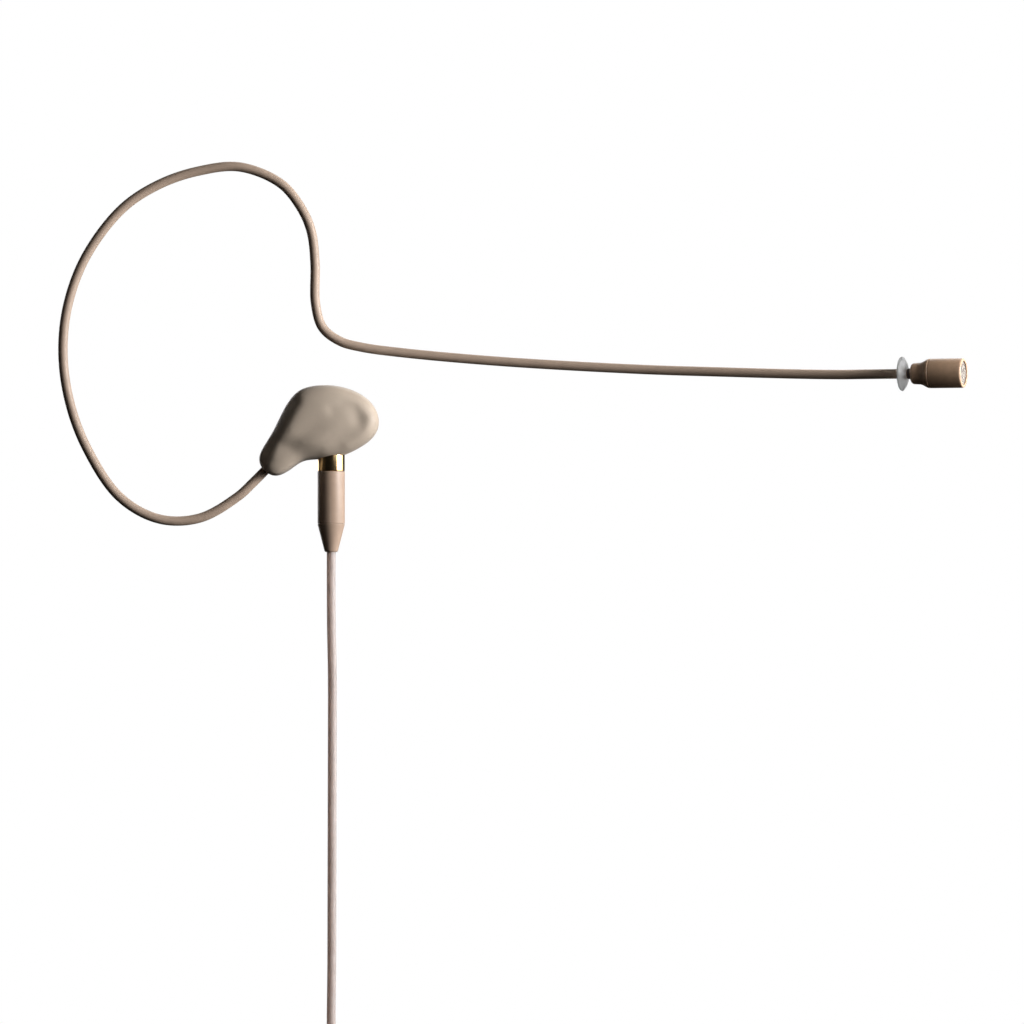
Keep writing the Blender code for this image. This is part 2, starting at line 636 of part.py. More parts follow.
def tie_band():
    """A band round the coil's section at its top, to be turned about the coil's axis."""
    inner = rounded_box(COIL_HALF_WIDTH + TIE_GAP, COIL_HALF_HEIGHT + TIE_GAP, 1.7)
    grown = TIE_GAP + TIE_THICKNESS
    outer = rounded_box(COIL_HALF_WIDTH + grown, COIL_HALF_HEIGHT + grown, 2.2)
    bm = bmesh.new()
    rings = []
    for outline, x in ((inner, -1), (outer, -1), (outer, 1), (inner, 1)):
        at = x * TIE_WIDTH / 2
        rings.append([bm.verts.new((at, y, COIL_MEAN_RADIUS + z)) for y, z in outline])
    join_rings(bm, rings + rings[:1])
    return bm


# ---------------------------------------------------------------- far-end connector
def build_far_end():
    at = (CONNECTOR_X, 0.0, 0.0)
    boot = (
        (1.05, BOOT_TOP), (1.45, BOOT_TOP), (1.60, BOOT_TOP - 0.3), (2.2, BOOT_TOP - 7.0),
        (3.3, BOOT_TOP - 13.0), (1.05, BOOT_TOP - 13.0),
    )
    add_piece("end_boot", turned(boot, 16), "plug", "boot_rubber", at)
    shell = (
        (1.6, SHELL_TOP), (3.6, SHELL_TOP), (SHELL_RADIUS, SHELL_TOP - 2.5),
        (SHELL_RADIUS, SHELL_BOTTOM), (SHELL_BORE, SHELL_BOTTOM), (SHELL_BORE, SHELL_TOP - 3.2),
        (1.6, SHELL_TOP - 1.2),
    )
    shell = add_piece("end_shell", turned(shell, 24), "plug", "satin_black", at)
    slot = block(LATCH_SIZE + Vector((0.5, 3.0, 0.5)))
    cut(shell, add_piece("latch_slot_cutter", slot, "plug", "satin_black", (CONNECTOR_X, -4.9, LATCH_Z)))
    add_piece("end_clamp", pipe(2.6, 1.15, SHELL_TOP - 7.0, SHELL_TOP - 3.6, 16), "plug", "nickel", at)
    insert = plug(INSERT_RADIUS, SHELL_BOTTOM + 5.0, SHELL_BOTTOM + 12.0, 24)
    insert = add_piece("end_insert", insert, "plug", "insulator", at)
    for i in range(3):
        angle = math.radians(90 + 120 * i)
        x = CONNECTOR_X + CONTACT_CIRCLE * math.cos(angle)
        y = CONTACT_CIRCLE * math.sin(angle)
        hole = plug(0.75, SHELL_BOTTOM + 4.0, SHELL_BOTTOM + 13.0, 12)
        cut(insert, add_piece("contact_hole_cutter_%d" % (i + 1), hole, "plug", "gold", (x, y, 0.0)))
        contact = pipe(0.55, 0.32, SHELL_BOTTOM + 5.3, SHELL_BOTTOM + 13.5, 12)
        add_piece("end_contact_%d" % (i + 1), contact, "plug", "gold", (x, y, 0.0))
    latch = block(LATCH_SIZE)
    bmesh.ops.bevel(latch, geom=latch.edges[:], offset=0.25, segments=1, affect="EDGES")
    add_piece("end_latch", latch, "latch", "nickel", (CONNECTOR_X, LATCH_Y, LATCH_Z))
    spring = block((1.2, 0.25, 7.4))
    add_piece("latch_spring", spring, "plug", "spring_steel", (CONNECTOR_X, -2.95, LATCH_Z))


def build_pivots():
    crown, elbow, swing, tip = hinge_points()
    add_pivot("hook_front", (0.0, 0.0, 0.0))
    add_pivot("hook_rear", crown, "hook_front")
    add_pivot("boom_root", elbow, "hook_front")
    add_pivot("boom_mid", swing, "boom_root")
    add_pivot("boom_tip", tip, "boom_mid")
    add_pivot("cap", CAPSULE_REAR, "boom_tip")
    add_pivot("disc", CAPSULE_REAR - CAPSULE_AXIS * DISC_BACK, "boom_tip")
    add_pivot("plug", (CONNECTOR_X, 0.0, NUT_BOTTOM), "hook_rear")
    add_pivot("nut", (CONNECTOR_X, 0.0, NUT_BOTTOM), "plug")
    add_pivot("latch", (CONNECTOR_X, LATCH_Y, LATCH_Z), "plug")


def main():
    clear_scene()
    build_pivots()
    build_wire()
    build_capsule_shell()
    build_cartridge()
    build_disc()
    build_earpiece()
    build_socket()
    build_cable_plug()
    build_cable()
    build_far_end()


main()
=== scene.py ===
"""Looks of the ear-hook headset microphone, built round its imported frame.

Lengths in the tables are in millimetres, and MM turns them into the frame's metres.
+X points forward to the mouth, +Y to the wearer's left and +Z up.
"""
import json
import math

import bmesh
import bpy
from mathutils import Matrix, Vector, noise


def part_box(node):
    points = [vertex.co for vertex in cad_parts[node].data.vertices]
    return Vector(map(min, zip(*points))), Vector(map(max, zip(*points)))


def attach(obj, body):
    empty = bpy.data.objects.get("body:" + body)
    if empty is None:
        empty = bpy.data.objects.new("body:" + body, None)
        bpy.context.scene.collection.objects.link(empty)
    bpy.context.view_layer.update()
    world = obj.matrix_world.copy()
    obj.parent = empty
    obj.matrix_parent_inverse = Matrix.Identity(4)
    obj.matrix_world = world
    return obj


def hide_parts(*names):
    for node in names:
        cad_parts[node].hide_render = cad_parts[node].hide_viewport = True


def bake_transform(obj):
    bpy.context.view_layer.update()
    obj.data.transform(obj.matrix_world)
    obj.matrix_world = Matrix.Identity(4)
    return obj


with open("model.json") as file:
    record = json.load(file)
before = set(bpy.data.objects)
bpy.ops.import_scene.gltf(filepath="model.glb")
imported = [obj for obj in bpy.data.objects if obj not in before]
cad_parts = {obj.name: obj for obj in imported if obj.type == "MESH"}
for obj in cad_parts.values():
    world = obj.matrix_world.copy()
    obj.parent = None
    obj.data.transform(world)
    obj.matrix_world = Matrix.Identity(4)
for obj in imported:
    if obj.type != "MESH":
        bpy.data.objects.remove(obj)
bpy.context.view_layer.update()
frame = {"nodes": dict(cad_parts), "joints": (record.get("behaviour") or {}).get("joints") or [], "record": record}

MM = 0.001


def box(node):
    """Lowest and highest corner of a CAD node, in millimetres."""
    low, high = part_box(node)
    return low / MM, high / MM


def joint(name):
    """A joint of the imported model, by its name."""
    return next(j for j in frame["joints"] if j["name"] == name)


# ---------------------------------------------------------------- driving dimensions
# The wire's route, as the CAD has it
EAR_LOOP = (
    (10.6, 0.0, -51.6), (7.0, 0.0, -55.2), (4.4, 0.0, -57.8), (1.9, -0.1, -60.1),
    (-5.1, -0.6, -64.1), (-12.6, -1.1, -64.3), (-19.9, -1.6, -60.2), (-26.1, -2.0, -50.8),
    (-29.2, -2.1, -42.1), (-30.3, -2.0, -33.4), (-29.4, -1.7, -24.7), (-26.1, -1.3, -15.8),
    (-19.5, -0.8, -7.0), (-12.6, -0.3, -2.4), (-5.2, 0.0, 0.1), (2.2, 0.0, 0.8),
    (9.7, 0.0, -2.2), (13.5, 0.0, -6.7), (15.4, 0.0, -11.1), (16.1, 0.0, -16.9),
    (16.2, 0.0, -24.5), (17.5, 0.0, -28.9), (20.7, 0.0, -31.4),
)
BOOM = (
    (24.6, 0.0, -32.5), (31.8, -0.1, -33.5), (50.3, -1.4, -35.2), (76.0, -5.5, -36.8),
    (90.6, -9.1, -37.4), (104.0, -13.1, -37.9),
)
STRAIGHT_END = (14.0, 9.0, 4.0, -2.2)
CAPSULE_REAR = Vector((124.9, -21.0, -38.1))
CAPSULE_AXIS = Vector(joint("cap_pull")["axis"]).normalized()
CAPSULE_YAW = math.atan2(CAPSULE_AXIS.y, CAPSULE_AXIS.x)
CAPSULE_LENGTH = 9.3
DISC_BACK = 2.2
DISC_RADIUS = 3.0
DISC_BORE = 0.93
DISC_HALF_RIM = 0.19
DISC_FRONT_DOME = 0.80
DISC_BACK_DOME = 0.40
MESH_RADIUS = 2.33
MESH_PITCH = 0.20
MESH_WIRE = 0.052
MESH_DOME = 0.16
MESH_HEIGHT = 8.90

SHEATH_RADIUS = 0.875
SHEATH_BORE = 0.62
FORMING_WIRE_RADIUS = 0.26
SIGNAL_LEAD_RADIUS = 0.22
WIRE_SHIFT = 0.30
WIRE_STEP = 0.6

# The connector under the earpiece stands on one vertical axis
NUT_LOW, NUT_HIGH = box("coupling_nut")
CONNECTOR_X = (NUT_LOW.x + NUT_HIGH.x) / 2
NUT_RADIUS = (NUT_HIGH.x - NUT_LOW.x) / 2

# The cable's route, as the CAD has it, and its coil
CABLE_ROUTE = (
    (19.1, 0.0, -69.4), (19.1, 0.0, -76.5), (19.14, 0.0, -84.0), (19.3, 0.1, -93.0),
    (19.3, 0.2, -103.0), (19.27, 0.2, -116.0), (19.24, 0.1, -132.0), (19.2, 0.0, -148.0),
    (19.1, 0.0, -156.0),
)
CABLE_DIAMETER = 1.65
COIL_LOW, COIL_HIGH = box("cable_coil")
COIL_CENTRE = (COIL_LOW + COIL_HIGH) / 2
COIL_MEAN_RADIUS = 12.2
COIL_TURNS = 18
COIL_OUTER_ROW = 1.5
COIL_OUTER_COLUMN = 2
TURN_POINTS = 40
SLOT_PITCH = 1.73
ENTRY_BEND = 5.0
BOOT_HIGH = box("end_boot")[1].z


# ---------------------------------------------------------------- shapes
# Edges sharper than this, in degrees, stay sharp in the shading
SHARP_ANGLE = 35.0


def turned(profile, sides=72):
    """A turned body about Z from (radius, height) points, closed on itself or on the axis."""
    bm = bmesh.new()
    corners = [bm.verts.new((radius, 0.0, height)) for radius, height in profile]
    edges = [bm.edges.new(pair) for pair in zip(corners, corners[1:])]
    if not (profile[0][0] == 0.0 and profile[-1][0] == 0.0):
        edges.append(bm.edges.new((corners[-1], corners[0])))
    bmesh.ops.spin(
        bm, geom=corners + edges, cent=(0, 0, 0), axis=(0, 0, 1),
        angle=math.tau, steps=sides, use_merge=True,
    )
    bmesh.ops.remove_doubles(bm, verts=bm.verts, dist=1e-4)
    return bm


def softened(profile, radius=0.08, steps=3):
    """The profile with each sharp corner rounded to about the radius."""
    points = [Vector(p) for p in profile]
    on_axis = points[0].x == 0.0 and points[-1].x == 0.0
    out = []
    for i, corner in enumerate(points):
        if on_axis and i in (0, len(points) - 1):
            out.append(tuple(corner))
            continue
        before = points[i - 1] - corner
        after = points[(i + 1) % len(points)] - corner
        bend = math.pi - before.angle(after)
        if bend < math.radians(12.0):
            out.append(tuple(corner))
            continue
        start = corner + before.normalized() * min(radius, before.length * 0.45)
        end = corner + after.normalized() * min(radius, after.length * 0.45)
        for step in range(steps + 1):
            share = step / steps
            out.append(tuple(start.lerp(corner, share).lerp(corner.lerp(end, share), share)))
    return out


def divided(profile, step):
    """The profile with points no further apart than the step."""
    out = []
    for a, b in zip(profile, list(profile[1:]) + [profile[0]]):
        count = max(1, math.ceil(math.dist(a, b) / step))
        for i in range(count):
            out.append((a[0] + (b[0] - a[0]) * i / count, a[1] + (b[1] - a[1]) * i / count))
    return out


def reshape(bm, rule):
    """Move each point of a turned body radially by rule(radius, angle, height)."""
    for vert in bm.verts:
        radius = math.hypot(vert.co.x, vert.co.y)
        if radius > 1e-6:
            angle = math.atan2(vert.co.y, vert.co.x)
            grown = rule(radius, angle, vert.co.z) / radius
            vert.co.x *= grown
            vert.co.y *= grown
    return bm


def pipe(outer, inner, low, high, ease=0.05):
    """The profile of a plain ring with eased corners."""
    return softened(((inner, low), (outer, low), (outer, high), (inner, high)), ease)


def smooth_curve(points, closed=False, steps=12):
    """Dense points on a centripetal Catmull-Rom curve through every given point."""
    points = [Vector(p) for p in points]
    if closed:
        guide = [points[-1]] + points + points[:2]
    else:
        guide = [2 * points[0] - points[1]] + points + [2 * points[-1] - points[-2]]
    curve = []
    for corners in zip(guide, guide[1:], guide[2:], guide[3:]):
        knots = [0.0]
        for a, b in zip(corners, corners[1:]):
            knots.append(knots[-1] + math.sqrt((b - a).length))
        for step in range(steps):
            curve.append(blend_span(corners, knots, knots[1] + (knots[2] - knots[1]) * step / steps))
    if not closed:
        curve.append(points[-1])
    return curve


def blend_span(corners, knots, at):
    """One point of a Catmull-Rom span, by its pyramid of straight blends."""
    before, start, end, after = corners
    first = mix_at(before, start, knots[0], knots[1], at)
    middle = mix_at(start, end, knots[1], knots[2], at)
    last = mix_at(end, after, knots[2], knots[3], at)
    lower = mix_at(first, middle, knots[0], knots[2], at)
    upper = mix_at(middle, last, knots[1], knots[3], at)
    return mix_at(lower, upper, knots[1], knots[2], at)


def mix_at(a, b, low, high, at):
    """The straight blend of a, reached at low, and b, reached at high."""
    return a * ((high - at) / (high - low)) + b * ((at - low) / (high - low))


def spaced(curve, step):
    """Evenly spaced points along a curve, and the distance between them."""
    along = [0.0]
    for a, b in zip(curve, curve[1:]):
        along.append(along[-1] + (b - a).length)
    count = max(2, round(along[-1] / step))
    out = []
    i = 1
    for k in range(count + 1):
        where = along[-1] * k / count
        while i < len(along) - 1 and along[i] < where:
            i += 1
        share = (where - along[i - 1]) / (along[i] - along[i - 1])
        out.append(curve[i - 1].lerp(curve[i], share))
    return out, along[-1] / count


def route_frames(route):
    """Point, sideways and upward directions at each point of a route, carried along untwisted."""
    frames = []
    side = Vector((0.0, 1.0, 0.0))
    for i, point in enumerate(route):
        ahead = (route[min(i + 1, len(route) - 1)] - route[max(i - 1, 0)]).normalized()
        if abs(side.dot(ahead)) > 0.95:
            side = ahead.orthogonal()
        side = (side - ahead * side.dot(ahead)).normalized()
        frames.append((point, side, ahead.cross(side)))
    return frames


def join_rings(bm, rings):
    """Quads between each pair of neighbouring rings of equal size."""
    for lower, upper in zip(rings, rings[1:]):
        for i in range(len(lower)):
            j = (i + 1) % len(lower)
            bm.faces.new((lower[i], lower[j], upper[j], upper[i]))


def add_tube(bm, frames, radius, sides, bore=0.0, shift=0.0):
    """A round bar, or a pipe if it has a bore, along carried frames."""
    walls = []
    for wall in (radius, bore) if bore else (radius,):
        rings = []
        for point, side, up in frames:
            ring = []
            for i in range(sides):
                angle = math.tau * (i + 0.5) / sides
                offset = side * (shift + wall * math.cos(angle)) + up * (wall * math.sin(angle))
                ring.append(bm.verts.new(point + offset))
            rings.append(ring)
        join_rings(bm, rings)
        walls.append(rings)
    if bore:
        for end in (0, -1):
            join_rings(bm, (walls[0][end], walls[1][end]))
    else:
        bm.faces.new(walls[0][0])
        bm.faces.new(walls[0][-1])
    return bm


def add_piece(name, bm, slot, body=None, replaces=(), place=None, edge=SHARP_ANGLE):
    """A bmesh in millimetres as a named piece with its finish, riding on a body."""
    bmesh.ops.recalc_face_normals(bm, faces=bm.faces)
    bm.transform(Matrix.Scale(MM, 4) @ (place or Matrix.Identity(4)))
    mesh = bpy.data.meshes.new(name)
    bm.to_mesh(mesh)
    bm.free()
    mesh.materials.append(FINISHES[slot])
    mesh.shade_smooth()
    mesh.set_sharp_from_angle(angle=math.radians(edge))
    piece = bpy.data.objects.new(name, mesh)
    bpy.context.collection.objects.link(piece)
    if replaces:
        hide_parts(*replaces)
    if body:
        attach(piece, body)
    return piece


# ---------------------------------------------------------------- camera
# The camera stands level on the wearer's right, in metres, with a long lens
CAMERA_PLACE = (0.05254, -0.789, -0.0630)
CAMERA_LENS = 150.0
CAMERA_SENSOR = 36.0


def add_camera():
    """A level camera looking along +Y."""
    data = bpy.data.cameras.new("camera")
    data.lens = CAMERA_LENS
    data.sensor_width = CAMERA_SENSOR
    camera = bpy.data.objects.new("camera", data)
    camera.location = CAMERA_PLACE
    camera.rotation_euler = (math.pi / 2, 0.0, 0.0)
    bpy.context.collection.objects.link(camera)
    bpy.context.scene.camera = camera


# ---------------------------------------------------------------- materials
def node_of(material, kind, inputs=(), **settings):
    """A new shader node with its settings, and its inputs as (name, value or output)."""
    node = material.node_tree.nodes.new(kind)
    for key, value in settings.items():
        setattr(node, key, value)
    for key, value in inputs:
        if isinstance(value, bpy.types.NodeSocket):
            material.node_tree.links.new(value, node.inputs[key])
        else:
            node.inputs[key].default_value = value
    return node


# The middle part of a noise's range, and the pointiness at which an edge starts and ends wearing
NOISE_RANGE = (0.3, 0.7)
EDGE_POINTINESS = (0.53, 0.60)


def ranged(material, value, source, target, **settings):
    """The value, moved from one range to another."""
    return node_of(material, "ShaderNodeMapRange", [
        ("Value", value), ("From Min", source[0]), ("From Max", source[1]),
        ("To Min", target[0]), ("To Max", target[1]),
    ], **settings).outputs[0]


def surface(name, colour, rough, metal=0.0, tone=0.10, patch=2.5, grain=0.10, depth=8.0,
            stretch=(1.0, 1.0, 1.0), worn=None, wear=0.5, fixed=()):
    """A procedural finish.

    tone is how far the colour wanders over patches of the given size in mm. grain is the size
    of the fine relief in mm, and depth its height in micrometres. worn is the colour of rubbed
    edges, and fixed holds further values of the shader's own sockets.
    """
    material = bpy.data.materials.new(name)
    material.use_nodes = True
    shader = material.node_tree.nodes["Principled BSDF"]
    shader.inputs["Metallic"].default_value = metal
    for key, value in fixed:
        shader.inputs[key].default_value = value
    place = node_of(material, "ShaderNodeTexCoord").outputs["Object"]
    spot = node_of(material, "ShaderNodeMapping", [("Vector", place), ("Scale", stretch)]).outputs[0]
    broad = node_of(
        material, "ShaderNodeTexNoise",
        [("Vector", place), ("Scale", 1.0 / (patch * MM)), ("Detail", 3.0), ("Roughness", 0.55)],
    ).outputs["Fac"]
    fine = node_of(
        material, "ShaderNodeTexNoise",
        [("Vector", spot), ("Scale", 1.0 / (grain * MM)), ("Detail", 4.0), ("Roughness", 0.65)],
    ).outputs["Fac"]
    ramp = node_of(material, "ShaderNodeValToRGB", [("Fac", broad)])
    ramp.color_ramp.elements[0].position = NOISE_RANGE[0]
    ramp.color_ramp.elements[1].position = NOISE_RANGE[1]
    ramp.color_ramp.elements[0].color = (*[c * (1.0 - tone) for c in colour], 1.0)
    ramp.color_ramp.elements[1].color = (*[min(1.0, c * (1.0 + tone)) for c in colour], 1.0)
    speck = ranged(material, fine, NOISE_RANGE, (1.0 - tone / 2, 1.0 + tone / 2))
    tinted = node_of(
        material, "ShaderNodeMix", [("Factor", 1.0), (6, ramp.outputs["Color"]), (7, speck)],
        data_type="RGBA", blend_type="MULTIPLY",
    ).outputs[2]
    if worn:
        edge = node_of(material, "ShaderNodeNewGeometry").outputs["Pointiness"]
        rubbed = ranged(material, edge, EDGE_POINTINESS, (0.0, wear))
        broken = node_of(
            material, "ShaderNodeMath", [(0, rubbed), (1, broad)], operation="MULTIPLY",
        ).outputs[0]
        tinted = node_of(
            material, "ShaderNodeMix", [("Factor", broken), (6, tinted), (7, (*worn, 1.0))],
            data_type="RGBA",
        ).outputs[2]
    material.node_tree.links.new(tinted, shader.inputs["Base Color"])
    gloss = ranged(material, fine, NOISE_RANGE, (rough * 0.88, min(1.0, rough * 1.12)))
    material.node_tree.links.new(gloss, shader.inputs["Roughness"])
    relief = node_of(
        material, "ShaderNodeBump", [("Strength", 1.0), ("Distance", depth * 1e-6), ("Height", fine)],
    ).outputs[0]
    material.node_tree.links.new(relief, shader.inputs["Normal"])
    return material


def make_finishes():
    """Every finish by the name of its material slot."""
    lengthwise = (1.0, 1.0, 0.05)
    return {
        "cocoa_sheath": surface(
            "cocoa_sheath", (0.49, 0.365, 0.28), 0.52, tone=0.05, grain=0.30, depth=0.5,
            fixed=[("Sheen Weight", 0.35), ("Sheen Roughness", 0.5),
                   ("Sheen Tint", (0.80, 0.64, 0.52, 1.0))]),
        "spring_steel": surface(
            "spring_steel", (0.50, 0.49, 0.48), 0.28, 1.0, grain=0.05, depth=2.0, stretch=lengthwise),
        "lead_insulation": surface(
            "lead_insulation", (0.55, 0.10, 0.06), 0.45, grain=0.08, depth=3.0),
        "cocoa_metal": surface(
            "cocoa_metal", (0.60, 0.395, 0.26), 0.42, tone=0.09, patch=1.6, grain=0.10, depth=1.5,
            worn=(0.62, 0.50, 0.40), wear=0.6),
        "silver_mesh": surface(
            "silver_mesh", (0.33, 0.30, 0.27), 0.45, 0.9, grain=0.06, depth=2.0),
        "rubber_seal": surface(
            "rubber_seal", (0.12, 0.09, 0.078), 0.65, grain=0.12, depth=3.0),
        "nickel": surface(
            "nickel", (0.62, 0.59, 0.54), 0.22, 1.0, tone=0.06, grain=0.05, depth=1.5,
            stretch=(1.0, 1.0, 6.0)),
        "film": surface("film", (0.70, 0.60, 0.32), 0.22, 0.6, grain=0.3, depth=2.0),
        "insulator": surface("insulator", (0.74, 0.71, 0.62), 0.50, grain=0.10, depth=5.0),
        "circuit_board": surface("circuit_board", (0.03, 0.17, 0.07), 0.40, grain=0.12, depth=4.0),
        "chip_black": surface("chip_black", (0.02, 0.02, 0.02), 0.50, grain=0.05, depth=5.0),
        "clear_silicone": surface(
            "clear_silicone", (0.45, 0.45, 0.45), 0.45, tone=0.05, patch=1.2, grain=0.5, depth=1.0,
            fixed=[("Transmission Weight", 0.65), ("IOR", 1.41), ("Subsurface Weight", 1.0),
                   ("Subsurface Scale", 0.004), ("Subsurface Radius", (1.0, 1.0, 1.0))]),
        "taupe_silicone": surface(
            "taupe_silicone", (0.54, 0.445, 0.355), 0.56, tone=0.045, patch=4.0, grain=0.16, depth=7.0,
            fixed=[("Specular IOR Level", 0.4), ("Sheen Weight", 0.15), ("Sheen Roughness", 0.5)]),
        "core_nylon": surface("core_nylon", (0.09, 0.08, 0.07), 0.60, grain=0.15, depth=6.0),
        "gold": surface(
            "gold", (0.95, 0.66, 0.34), 0.20, 1.0, tone=0.03, grain=0.12, depth=0.5,
            stretch=(1.0, 1.0, 5.0)),
        "beige_paint": surface(
            "beige_paint", (0.47, 0.335, 0.25), 0.42, tone=0.05, patch=2.0, grain=0.06, depth=3.0,
            worn=(0.72, 0.62, 0.50), wear=0.5),
        "cable_jacket": surface(
            "cable_jacket", (0.42, 0.355, 0.33), 0.50, tone=0.07, patch=3.0, grain=0.25, depth=1.0,
            fixed=[("Subsurface Weight", 1.0), ("Subsurface Scale", 0.005),
                   ("Subsurface Radius", (1.0, 0.9, 0.85))]),
        "tie_black": surface("tie_black", (0.03, 0.03, 0.032), 0.75, grain=0.14, depth=30.0),
        "satin_black": surface(
            "satin_black", (0.035, 0.035, 0.038), 0.34, 0.6, grain=0.05, depth=3.0,
            worn=(0.30, 0.29, 0.28), wear=0.8),
        "boot_rubber": surface("boot_rubber", (0.035, 0.034, 0.033), 0.62, grain=0.10, depth=10.0),
    }


def dress_frame():
    """Give every CAD node the procedural finish of its slot."""
    for part in frame["record"]["subparts"]:
        node = frame["nodes"][part["node"]]
        for slot in node.material_slots:
            slot.material = FINISHES[part["material_slot"]]
        node.data.shade_smooth()
        node.data.set_sharp_from_angle(angle=math.radians(SHARP_ANGLE))


# ---------------------------------------------------------------- cable
# How far a turn strays from its place, and where in a turn the cable starts to cross
# over to its next place, with the share of the turn that this takes
COIL_STRAY = 0.09
CROSSOVER_START = 0.55
CROSSOVER_SHARE = 0.45
BOOT_OVERLAP = 4.0
LEAD_STEP = 1.5
TIE_GAP = 0.12
TIE_DEGREES = (("tie_top", 22.0), ("tie_bottom", 202.0))


def coil_slots():
    """Places in the coil's section, in units of the pitch, in the order that they are wound.

    Each is (columns along the coil's axis, rows outward). The first is the middle of the outer
    row, where the cable comes in, and every next one lies beside it.
    """
    left = [(0, 3), (-1, 3), (-2, 3), (-2, 2), (-2, 1), (-2, 0), (-1, 0), (-1, 1), (-1, 2)]
    right = [(0, 2), (0, 1), (0, 0), (1, 0), (2, 0), (2, 1), (1, 1), (1, 2), (2, 2), (2, 3), (1, 3)]
    return [(column, row - COIL_OUTER_ROW) for column, row in left + right]


def coil_points(start, end):
    """The wound turns between two angles, measured to the left from the coil's top."""
    slots = coil_slots()
    count = round((end - start) / math.tau * TURN_POINTS)
    points = []
    for k in range(count + 1):
        angle = start + (end - start) * k / count
        turn = (angle - start) / math.tau
        i = min(int(turn), len(slots) - 2)
        share = min(1.0, max(0.0, (turn - i - CROSSOVER_START) / CROSSOVER_SHARE))
        share = share * share * (3.0 - 2.0 * share)
        column = slots[i][0] + (slots[i + 1][0] - slots[i][0]) * share
        row = slots[i][1] + (slots[i + 1][1] - slots[i][1]) * share
        stray = noise.noise(Vector((angle * 0.35, i * 0.7, 0.0))) * COIL_STRAY
        radius = COIL_MEAN_RADIUS + row * SLOT_PITCH + stray
        points.append(Vector((
            COIL_CENTRE.x - radius * math.sin(angle),
            column * SLOT_PITCH - stray,
            COIL_CENTRE.z + radius * math.cos(angle),
        )))
    return points


def bend_points(radius, outer, sign, count=7):
    """A bend in the X-Z plane between the vertical line over the coil and its outer row.

    sign is 1 above the coil, for the way in, and -1 below it, for the way out.
    """
    joins = math.asin(radius / (outer + radius))
    rise = sign * (outer + radius) * math.cos(joins)
    centre = Vector((COIL_CENTRE.x - radius, 0.0, COIL_CENTRE.z + rise))
    points = []
    for k in range(count):
        angle = (math.pi / 2 - joins) * k / count
        points.append(centre + Vector((radius * math.cos(angle), 0.0, -sign * radius * math.sin(angle))))
    return points, joins


def build_cable():
    """The whole cable as one curve: straight down, round the coil and into the boot."""
    outer = COIL_MEAN_RADIUS + COIL_OUTER_ROW * SLOT_PITCH
    way_in, joins = bend_points(ENTRY_BEND, outer, 1)
    way_out, _ = bend_points(ENTRY_BEND, outer, -1)
    wound = coil_points(joins, math.pi - joins + math.tau * COIL_TURNS)
    last = wound[-1]
    for i, point in enumerate(way_out):
        point.y = last.y * (1.0 - math.cos(math.pi * i / len(way_out))) / 2
    lead, _ = spaced(smooth_curve(CABLE_ROUTE), LEAD_STEP)
    tail_x, tail_top = way_out[0].x, way_out[0].z
    tail_end = BOOT_HIGH - BOOT_OVERLAP
    tail = [Vector((tail_x, 0.0, tail_top + (tail_end - tail_top) * k / 8)) for k in range(1, 9)]
    points = lead + way_in + wound + way_out[::-1] + tail
    data = bpy.data.curves.new("cable_fine", "CURVE")
    data.dimensions = "3D"
    data.bevel_depth = CABLE_DIAMETER / 2 * MM
    data.bevel_resolution = 6
    data.use_fill_caps = True
    data.materials.append(FINISHES["cable_jacket"])
    spline = data.splines.new("POLY")
    spline.points.add(len(points) - 1)
    for knot, point in zip(spline.points, points):
        knot.co = (*(point * MM), 1.0)
    cable = bpy.data.objects.new("cable_fine", data)
    bpy.context.collection.objects.link(cable)
    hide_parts("cable_lead", "cable_coil", "cable_tail")
    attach(cable, "plug")
    return cable


def rounded_box(half_width, half_height, corner, steps=6):
    """Corner points of a rounded rectangle, counter-clockwise."""
    points = []
    for quarter in range(4):
        sign_x = (1, -1, -1, 1)[quarter]
        sign_y = (1, 1, -1, -1)[quarter]
        for step in range(steps + 1):
            angle = math.pi / 2 * (quarter + step / steps)
            x = sign_x * (half_width - corner) + corner * math.cos(angle)
            y = sign_y * (half_height - corner) + corner * math.sin(angle)
            points.append((x, y))
    return points


def build_ties():
    """Two soft straps round the coil, each a closed band with eased edges."""
    half_width = COIL_OUTER_COLUMN * SLOT_PITCH + CABLE_DIAMETER / 2 + TIE_GAP
    half_height = COIL_OUTER_ROW * SLOT_PITCH + CABLE_DIAMETER / 2 + TIE_GAP
    thickness, width, cushion = 0.5, 2.5, 0.18
    pieces = []
    for name, degrees in TIE_DEGREES:
        bm = bmesh.new()
        rings = []
        section = (
            (0.0, -width / 2), (0.0, width / 2), (cushion, width / 2 + 0.02),
            (thickness - cushion, width / 2), (thickness, width / 2 - cushion),
            (thickness, -width / 2 + cushion), (thickness - cushion, -width / 2),
            (cushion, -width / 2 - 0.02),
        )
        for lift, x in section:
            outline = rounded_box(half_width + lift, half_height + lift, 1.2 + lift)
            rings.append([bm.verts.new((x, y, COIL_MEAN_RADIUS + z)) for y, z in outline])
        join_rings(bm, rings + rings[:1])
        place = Matrix.Translation(COIL_CENTRE) @ Matrix.Rotation(-math.radians(degrees), 4, "Y")
        pieces.append(add_piece(name + "_fine", bm, "tie_black", "plug", [name], place))
    return pieces


